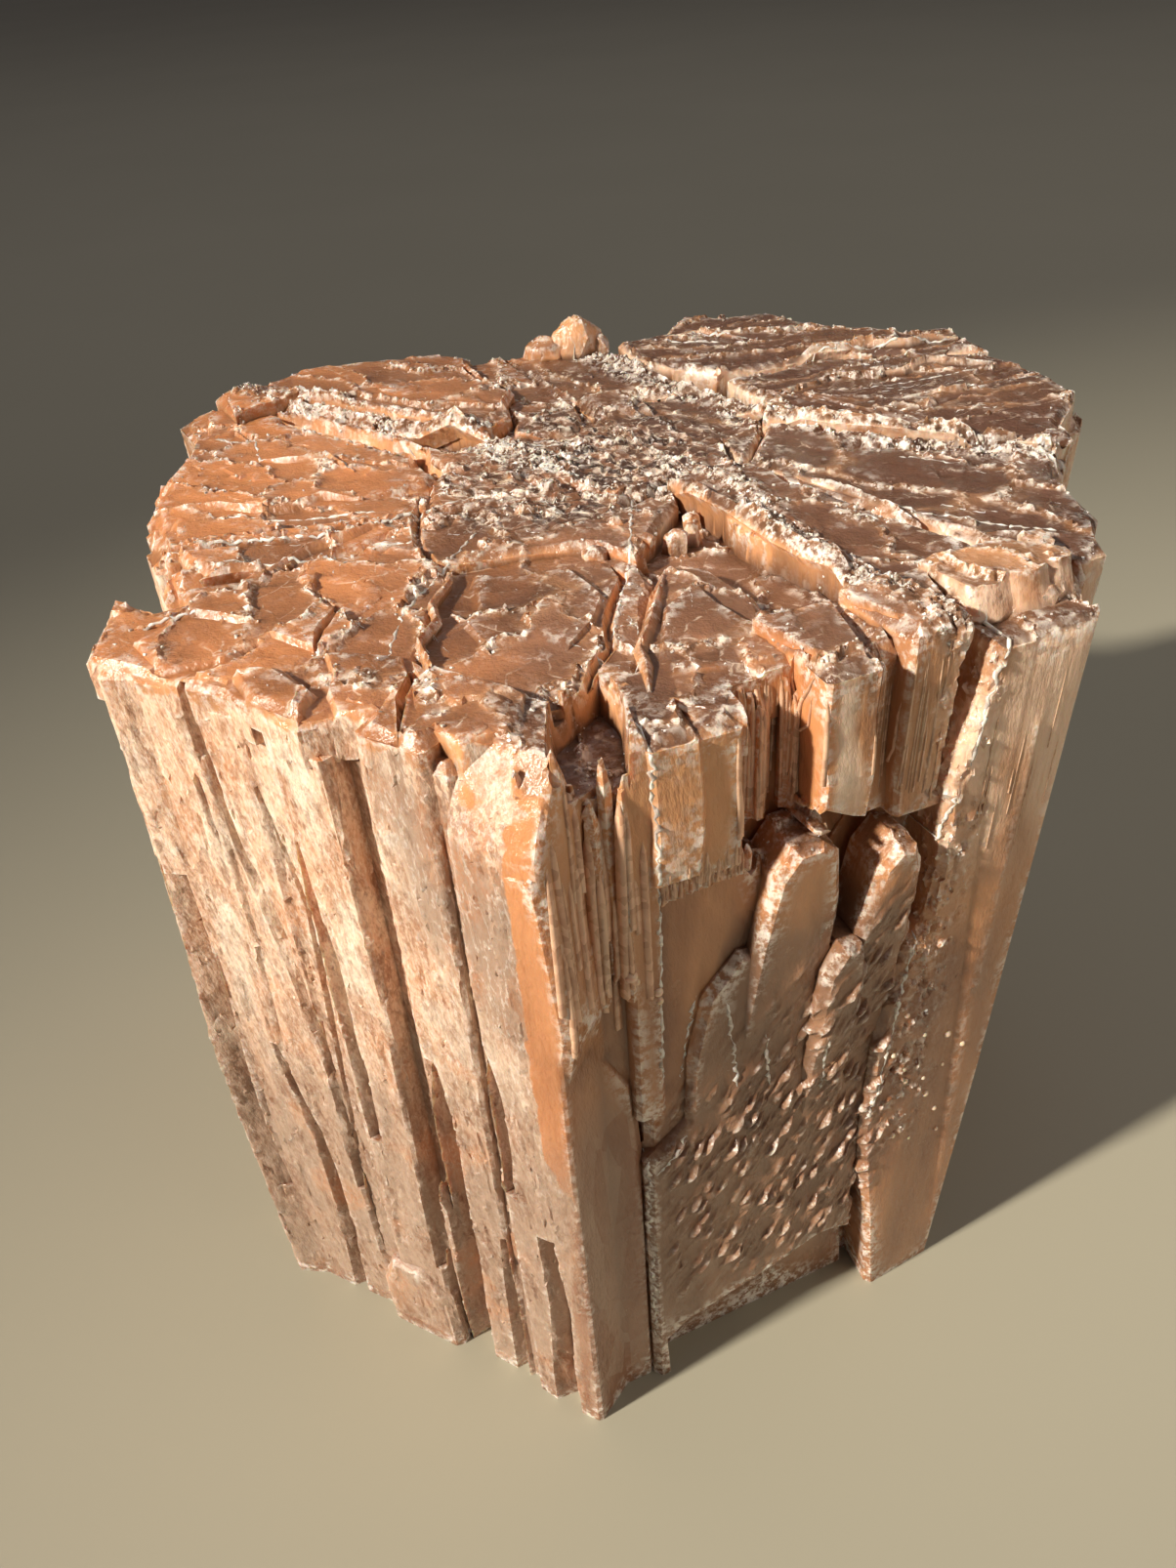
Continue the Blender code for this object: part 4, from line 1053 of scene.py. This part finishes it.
def scatter_tree(seed):
    """Chips on the skin, as dense as the stored masks say."""
    tree, _, put, end = new_tree("scatter chips", SCATTER)
    seam = stored(tree, "granular")
    edge = stored(tree, "edge") * stored(tree, "top")
    density = seam * seam * put["Seam Density"] + edge * put["Edge Density"]
    spread = add_node(
        tree, "GeometryNodeDistributePointsOnFaces", {"distribute_method": "RANDOM"},
        Mesh=from_object(put["Skin"]), Density=density * (1 / MM / MM), Seed=seed,
    )
    turn = random_between(tree, "FLOAT_VECTOR", (0.0,) * 3, (FULL_TURN,) * 3, seed)
    size = random_between(tree, "FLOAT", 0.0, 1.0, seed + 1)
    size = size * size * (put["Largest"] - put["Smallest"]) + put["Smallest"]
    place = add_node(
        tree, "GeometryNodeInstanceOnPoints", Points=Field(tree, spread.outputs["Points"]),
        Instance=from_object(put["Chip"]), Rotation=turn, Scale=size * MM,
    )
    feed(end.inputs["Geometry"], painted(Field(tree, place.outputs[0]), put["Material"]))
    return tree


def chip_material(name, low, high, rough):
    """Pale to brown chips: each about one tone, with clear small facets."""
    material, _, shader, at = stone_shader(name, 0.2, 0.25)
    tone = cells(at, 4.0)["Color"].parts()[0]
    patch = cloud(at, 0.8, 3.0)
    feed(shader.inputs["Base Color"], mixed(low, high, tone * 0.8 + patch * 1.4 - 0.3))
    feed(shader.inputs["Roughness"], tone * 0.12 + rough)
    return material


def new_piece(name):
    """An empty piece, for a tree to fill."""
    return new_object(name, bpy.data.meshes.new(name))


pale = chip_material("pale chips", BROWN, WHITE, 0.05)
chip = one_chip(pale)
chips = new_piece("seam_chips")
run_tree(chips, scatter_tree(3), {"Skin": stone, "Chip": chip, "Material": pale})
bpy.data.objects.remove(chip)
print("chips", len(chips.data.polygons), "triangles")

# %% [markdown]
# ## Threads and veins
# Thin serrated ridges run over the top, outwards along each crystal of the twin, and a few raised
# veins climb the right front face. They are about a tenth of a millimetre wide, and of the same pale
# stone as the chips. Each one is a path: some are drawn where they are strongest, the rest wander by
# a seeded rule. A path is laid on the skin by dropping its points onto it, and Geometry Nodes give
# it thickness.

# %% Laying paths on the skin
bpy.context.view_layer.update()
solid_skin = BVHTree.FromObject(stone, bpy.context.evaluated_depsgraph_get())
ABOVE = 36.0                # heights: well above the crystal, and where the top begins
TOP_FROM = 26.0
OUTSIDE = 3.0               # how far outside the face a ray starts, and how far it goes
REACH = 7.0


def on_top(x, y, sink):
    """The point of the top under (x, y), a little below the skin."""
    hit = solid_skin.ray_cast(Vector((x, y, ABOVE)) * MM, Vector((0, 0, -1)))[0]
    return hit - Vector((0, 0, sink * MM)) if hit and hit.z > TOP_FROM * MM else None


def on_front(s, z, sink):
    """The point of the right front face at s along and z up, a little below the skin."""
    inwards = Vector((-ALONG[1], ALONG[0], 0))
    start = Vector((CORNER[0] + ALONG[0] * s, CORNER[1] + ALONG[1] * s, z)) - inwards * OUTSIDE
    pull = min(1.0, max(0.0, (start.x - LEAN_FROM) / LEAN_OVER))
    start.x -= LEAN * (TOP - z) * pull
    hit = solid_skin.ray_cast(start * MM, inwards, REACH * MM)[0]
    return hit + inwards * sink * MM if hit else None


def walked(corners, step):
    """Points along a path of straight pieces, about a step apart."""
    made = []
    for (ax, ay), (bx, by) in zip(corners, corners[1:]):
        count = max(1, round(math.dist((ax, ay), (bx, by)) / step))
        made.extend((ax + (bx - ax) * k / count, ay + (by - ay) * k / count) for k in range(count))
    return made + [corners[-1]]


class Paths:
    """Paths as one mesh of edges, each point with its own thickness."""

    def __init__(self, name):
        self.name = name
        self.points = []
        self.edges = []
        self.thick = []

    def add(self, spots, thick):
        """Adds one path; spots that missed the skin break it."""
        joined = False
        for spot, radius in zip(spots, thick):
            if spot is None:
                joined = False
                continue
            if joined:
                self.edges.append((len(self.points) - 1, len(self.points)))
            self.points.append(spot)
            self.thick.append(radius * MM)
            joined = True

    def made(self):
        mesh = bpy.data.meshes.new(self.name + " paths")
        mesh.from_pydata(self.points, self.edges, [])
        layer = mesh.attributes.new("thick", "FLOAT", "POINT")
        layer.data.foreach_set("value", self.thick)
        return new_object(mesh.name, mesh)


def path_tree(name):
    """A round skin of a few sides around every path, as thick as its points say."""
    inputs = {"Paths": (OBJECT, None), "Sides": ("NodeSocketInt", 4), "Material": (MATERIAL, None)}
    tree, _, put, end = new_tree(name, inputs)
    curve = add_node(tree, "GeometryNodeMeshToCurve", Mesh=from_object(put["Paths"]))
    settings = {"mode": "RADIUS"}
    ring = add_node(
        tree, "GeometryNodeCurvePrimitiveCircle", settings, Resolution=put["Sides"], Radius=1.0
    )
    tube = add_node(
        tree, "GeometryNodeCurveToMesh", Curve=Field(tree, curve.outputs[0]),
        Scale=stored(tree, "thick"), Profile_Curve=Field(tree, ring.outputs[0]), Fill_Caps=True,
    )
    feed(end.inputs["Geometry"], painted(Field(tree, tube.outputs[0]), put["Material"]))
    return tree


def skinned(paths, material):
    """A finished piece from a set of paths."""
    source = paths.made()
    obj = new_piece(paths.name)
    run_tree(obj, path_tree("skin of " + paths.name), {"Paths": source, "Material": material})
    bpy.data.objects.remove(source)
    print(paths.name, len(paths.points), "points,", len(obj.data.polygons), "faces")
    return obj


# %% [markdown]
# ## Threads on the top
# The strongest threads are drawn, point by point. The others start anywhere in a sector of the top
# and keep that sector's heading, more or less, as the plates of each crystal do. Their thickness
# comes and goes and dies out at both ends, so that none ends in a stump.

# %% Threads
THREADS = (
    ((-13.9, 8.2), (-12.6, 8.3), (-11.6, 7.8)),
    ((-15.8, 6.8), (-13.8, 6.0), (-13.2, 4.2), (-10.4, 3.9), (-9.2, 2.4)),
    ((-5.2, 2.8), (-2.0, 1.6)),
    ((-4.2, 4.0), (-1.8, 3.8)),
    ((-12.8, -4.0), (-6.2, -3.6)),
    ((-15.4, -2.8), (-9.0, -2.2), (-5.0, -0.6)),
    ((-14.2, -8.0), (-12.0, -7.4)),
    ((-14.0, -0.8), (-8.0, -1.0)),
    ((6.0, -1.0), (9.2, -4.4), (13.0, -6.2)),
    ((8.2, 10.6), (13.8, 11.2)),
    ((9.0, 6.4), (14.0, 8.0)),
    ((12.0, 5.0), (16.0, 7.2)),
    ((1.9, 13.0), (6.0, 12.6)),
    ((2.2, 14.0), (5.8, 13.0)),
    ((0.4, -0.6), (0.2, -5.0), (-0.4, -9.4)),
    ((-4.6, -2.6), (-6.4, -7.4), (-6.6, -10.4)),
)
# where wandering threads start: centre, reach, heading in degrees, its spread, and how many
SECTORS = (
    ((9.5, 8.0), (6.0, 5.0), 14, 9, 26),
    ((8.0, 12.5), (5.0, 2.0), 5, 10, 8),
    ((10.0, -2.0), (4.0, 3.0), -35, 12, 10),
    ((-11.0, 4.0), (4.0, 4.0), 155, 14, 12),
    ((-10.5, -2.5), (4.0, 2.0), 172, 10, 9),
    ((-2.5, 0.0), (4.0, 3.5), 170, 40, 34),
    ((-2.0, 9.0), (4.0, 3.5), 120, 40, 12),
    ((-4.0, -7.0), (5.0, 3.5), 255, 35, 16),
    ((3.0, -9.0), (2.5, 3.0), 285, 25, 6),
)
STEP = 0.14                 # between two points of a path
JITTER = 0.03               # how far a point strays, and how much a heading, in radians
SWAY = 0.45
SERRATION = (0.30, 1.35)    # how thin and how thick a thread gets, as a share of its radius
THREAD_SINK = 0.03
DRAWN_THREAD = 0.07         # radii, in millimetres
FINE_THREAD = (0.02, 0.045)
VEIN = 0.08
WANDER = (0.6, 4.2)         # the lengths of the threads that wander
threads = Paths("threads")
chance = random.Random(11)


def serrated(count, thickness):
    """Radii that come and go along a thread and die out at its ends."""
    made = []
    for k in range(count):
        fade = min(1.0, (k + 0.3) / 3.0, (count - k - 0.7) / 3.0)
        made.append(thickness * fade * chance.uniform(*SERRATION))
    return made


def lay_on_top(spots, thickness):
    jitter = [(x + chance.gauss(0, JITTER), y + chance.gauss(0, JITTER)) for x, y in spots]
    threads.add([on_top(x, y, THREAD_SINK) for x, y in jitter], serrated(len(jitter), thickness))


def wandering(start, heading, length):
    """A path that keeps its heading, more or less, with small kinks."""
    x, y = start
    spots = []
    for _ in range(max(4, int(length / STEP))):
        spots.append((x, y))
        sway = heading + chance.gauss(0, SWAY)
        x += STEP * math.cos(sway)
        y += STEP * math.sin(sway)
    return spots


for corners in THREADS:
    lay_on_top(walked(corners, STEP), DRAWN_THREAD)
for (x, y), (reach_x, reach_y), heading, spread, count in SECTORS:
    for _ in range(count):
        start = (x + chance.uniform(-reach_x, reach_x), y + chance.uniform(-reach_y, reach_y))
        way = math.radians(heading + chance.gauss(0, spread))
        lay_on_top(wandering(start, way, chance.uniform(*WANDER)), chance.uniform(*FINE_THREAD))

print("threads", len(threads.points), "points")

# %% [markdown]
# ## Veins on the right front
# A few raised veins climb the right front, along the edges of its parts and across the broad face.
# They follow the face, so each is a list of places along it and up it.

# %% Veins
VEINS = (
    ((3.45, 16.8), (3.55, 24.0), (3.50, 29.6)),
    ((4.2, 16.3), (4.4, 18.2), (4.8, 20.0)),
    ((3.0, 12.4), (3.7, 13.2), (4.3, 14.3)),
    ((2.8, 9.0), (2.95, 13.5)),
    ((11.6, 11.0), (12.0, 14.0), (12.2, 18.0), (12.6, 21.5), (12.9, 25.0)),
    ((2.9, 8.0), (2.9, 2.5)),
    ((9.2, 17.0), (9.4, 13.5)),
    ((7.0, 17.8), (7.3, 14.6)),
    ((5.6, 19.6), (5.9, 17.0), (6.0, 15.4)),
    ((13.2, 25.5), (13.5, 28.0), (13.9, 30.0)),
)
for corners in VEINS:
    spots = [(s + chance.gauss(0, 0.04), z) for s, z in walked(corners, STEP)]
    threads.add([on_front(s, z, THREAD_SINK) for s, z in spots], serrated(len(spots), VEIN))
thread_piece = skinned(threads, pale)

# %% [markdown]
# ## Needles and fibres
# Beside the front corner a bundle of needles stands in an open cleft, a fringe of small prisms hangs
# under the overhang, fine fibres line the amber recess, and the blocks and the column to its right
# are ribbed. They are all prisms, from under a tenth to four tenths of a millimetre thick, so they
# are paths too, straight ones that end in a point.

# %% Needles
# along from and to, foot and top, shortest and longest, radius from and to, all in millimetres,
# and how many
NEEDLE_FIELDS = {
    "bundle": (0.3, 3.2, 19.5, 29.6, 2.0, 7.0, 0.10, 0.20, 18),
    "fringe": (3.6, 6.4, 24.0, 25.6, 0.5, 1.1, 0.05, 0.10, 44),
    "recess": (5.9, 8.4, 25.2, 29.8, 1.6, 4.2, 0.05, 0.10, 40),
    "blocks": (9.8, 13.0, 24.6, 30.0, 1.5, 4.8, 0.03, 0.06, 26),
    "column": (13.6, 16.4, 22.0, 29.8, 1.0, 4.0, 0.03, 0.06, 8),
}
RUNG = 0.5                  # between two points of a needle
JUMP = 1.2                  # a needle whose points lie further apart leaves the face, and is left out
needles = Paths("needles")
for name, (s0, s1, foot, top, short, long, thin_r, thick_r, count) in NEEDLE_FIELDS.items():
    for k in range(count):
        s = s0 + (s1 - s0) * (k + chance.uniform(0.0, 1.0)) / count
        length = chance.uniform(short, long)
        low = foot + chance.uniform(0.0, 1.0) * max(0.0, top - foot - length)
        lean = chance.gauss(0, 0.012)
        radius = chance.uniform(thin_r, thick_r)
        rungs = max(4, round(length / RUNG))
        heights = [low + length * n / rungs for n in range(rungs + 1)]
        spots = [on_front(s + lean * (z - low), z, radius * 0.3) for z in heights]
        spots = [spot for spot in spots if spot]
        steady = all((a - b).length < JUMP * MM for a, b in zip(spots, spots[1:]))
        if steady and len(spots) > 3:
            shape = [radius] * (len(spots) - 2) + [radius * 0.8, radius * 0.1]
            needles.add(spots, shape)
fibre_glass = chip_material("amber fibres", TAN, PEACH, 0.10)
needle_piece = skinned(needles, fibre_glass)

# %% [markdown]
# ## Bright beads
# On the lower right column, and beside the needle bundle, sit a few clear round beads, which catch
# the lamp as white points.

# %% Beads
# along the face, height, radius
BEADS = (
    (12.9, 13.2, 0.16), (13.1, 12.5, 0.13), (14.8, 14.0, 0.15), (15.6, 13.2, 0.12), (14.3, 11.2, 0.14),
    (15.0, 10.0, 0.11), (13.0, 9.6, 0.12), (15.4, 8.6, 0.10), (12.6, 16.0, 0.11), (13.6, 14.6, 0.09),
    (2.6, 22.0, 0.20), (2.75, 21.7, 0.12), (3.4, 21.0, 0.16), (3.45, 20.6, 0.12), (12.3, 14.2, 0.10),
    (14.0, 12.2, 0.09), (12.5, 11.6, 0.10), (13.9, 9.0, 0.08), (14.9, 12.4, 0.08),
)
BEAD_INPUTS = {"Spots": (OBJECT, None), "Material": (MATERIAL, None)}


def bead_tree():
    tree, _, put, end = new_tree("beads", BEAD_INPUTS)
    ball = add_node(tree, "GeometryNodeMeshIcoSphere", Radius=1.0, Subdivisions=2)
    place = add_node(
        tree, "GeometryNodeInstanceOnPoints", Points=from_object(put["Spots"]),
        Instance=Field(tree, ball.outputs[0]), Scale=stored(tree, "thick"),
    )
    feed(end.inputs["Geometry"], painted(Field(tree, place.outputs[0]), put["Material"]))
    return tree


def bead_material():
    material, _, shader, at = stone_shader("clear beads", 0.5, 0.3)
    feed(shader.inputs["Base Color"], mixed(PEACH, CREAM, cloud(at, 1.0)))
    shader.inputs["Roughness"].default_value = 0.07
    return material


spots = Paths("beads")
for s, z, radius in BEADS:
    spots.add([on_front(s, z, radius * 0.2)], [radius])
source = spots.made()
beads = new_piece("beads")
run_tree(beads, bead_tree(), {"Spots": source, "Material": bead_material()})
bpy.data.objects.remove(source)
beads.data.shade_smooth()
print("beads", len(spots.points), len(beads.data.polygons), "faces")

# %% [markdown]
# ## Floor and light
# A plain pale floor, and a warm lamp low on the left. It is small enough to show the relief, and its
# beam is narrow, so that the floor falls off into shade behind the crystal. A large dim light over
# the top, another on the right and a soft sky fill the shaded side.


# %% Floor and lamps
MIDDLE = Vector((0.0, 0.0, 0.015))


def placed(light, place, aim):
    """Puts a lamp at a place, aimed at a point."""
    obj = new_object(light.name, light)
    obj.location = place
    obj.rotation_mode = "QUATERNION"
    obj.rotation_quaternion = (Vector(aim) - Vector(place)).to_track_quat("-Z", "Y")


def soft_box(name, place, size, power, colour):
    """A square soft lamp aimed at the crystal."""
    light = bpy.data.lights.new(name, "AREA")
    light.size = size
    light.energy = power
    light.color = colour
    placed(light, place, MIDDLE)


KEY_FROM = Vector((-0.855, -0.47, 0.64)).normalized()
KEY_AIM = MIDDLE + Vector((0.006, -0.012, 0.0))
KEY_FAR = 1.35
BEAM = 0.064
key = bpy.data.lights.new("key", "SPOT")
key.shadow_soft_size = 0.045
key.energy = 142.0
key.color = (1.0, 0.91, 0.80)
key.spot_size = 2 * math.atan(BEAM / KEY_FAR)
key.spot_blend = 0.45
placed(key, KEY_AIM + KEY_FROM * KEY_FAR, KEY_AIM)
soft_box("over", (0.05, 0.15, 0.5), 0.5, 0.42, (0.95, 0.93, 1.0))
soft_box("right", (0.45, -0.2, 0.25), 0.4, 0.68, (1.0, 0.87, 0.72))

FLOOR_HALF = 3.0
FLOOR_TONES = ((0.345, 0.325, 0.24, 1), (0.385, 0.36, 0.27, 1))
floor_corners = [(x * FLOOR_HALF, y * FLOOR_HALF, 0) for x, y in ((-1, -1), (1, -1), (1, 1), (-1, 1))]
floor_mesh = bpy.data.meshes.new("floor")
floor_mesh.from_pydata(floor_corners, [], [(0, 1, 2, 3)])
floor = new_object("floor", floor_mesh)
floor_material, paint, place = new_material("pale floor")
feed(paint.inputs["Base Color"], mixed(*FLOOR_TONES, cloud(place, 20.0, 3.0)))
paint.inputs["Roughness"].default_value = 0.6
floor_mesh.materials.append(floor_material)

ROOM_TONE = (0.90, 0.84, 0.88, 1.0)
ROOM_LIGHT = 0.10
world = bpy.data.worlds.new("room")
bpy.context.scene.world = world
world.use_nodes = True
feed(world.node_tree.nodes["Background"].inputs[0], ROOM_TONE)
feed(world.node_tree.nodes["Background"].inputs[1], ROOM_LIGHT)
bpy.context.scene.view_settings.view_transform = "Standard"
print("lit")

# %% [markdown]
# ## All on one body
# Every piece rides on the one body, and the stone itself takes the place of the plain solid.

# %% Attach the pieces
for piece in (stone, chips, thread_piece, needle_piece, beads):
    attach(piece, "root")
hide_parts("aragonite_crystal")
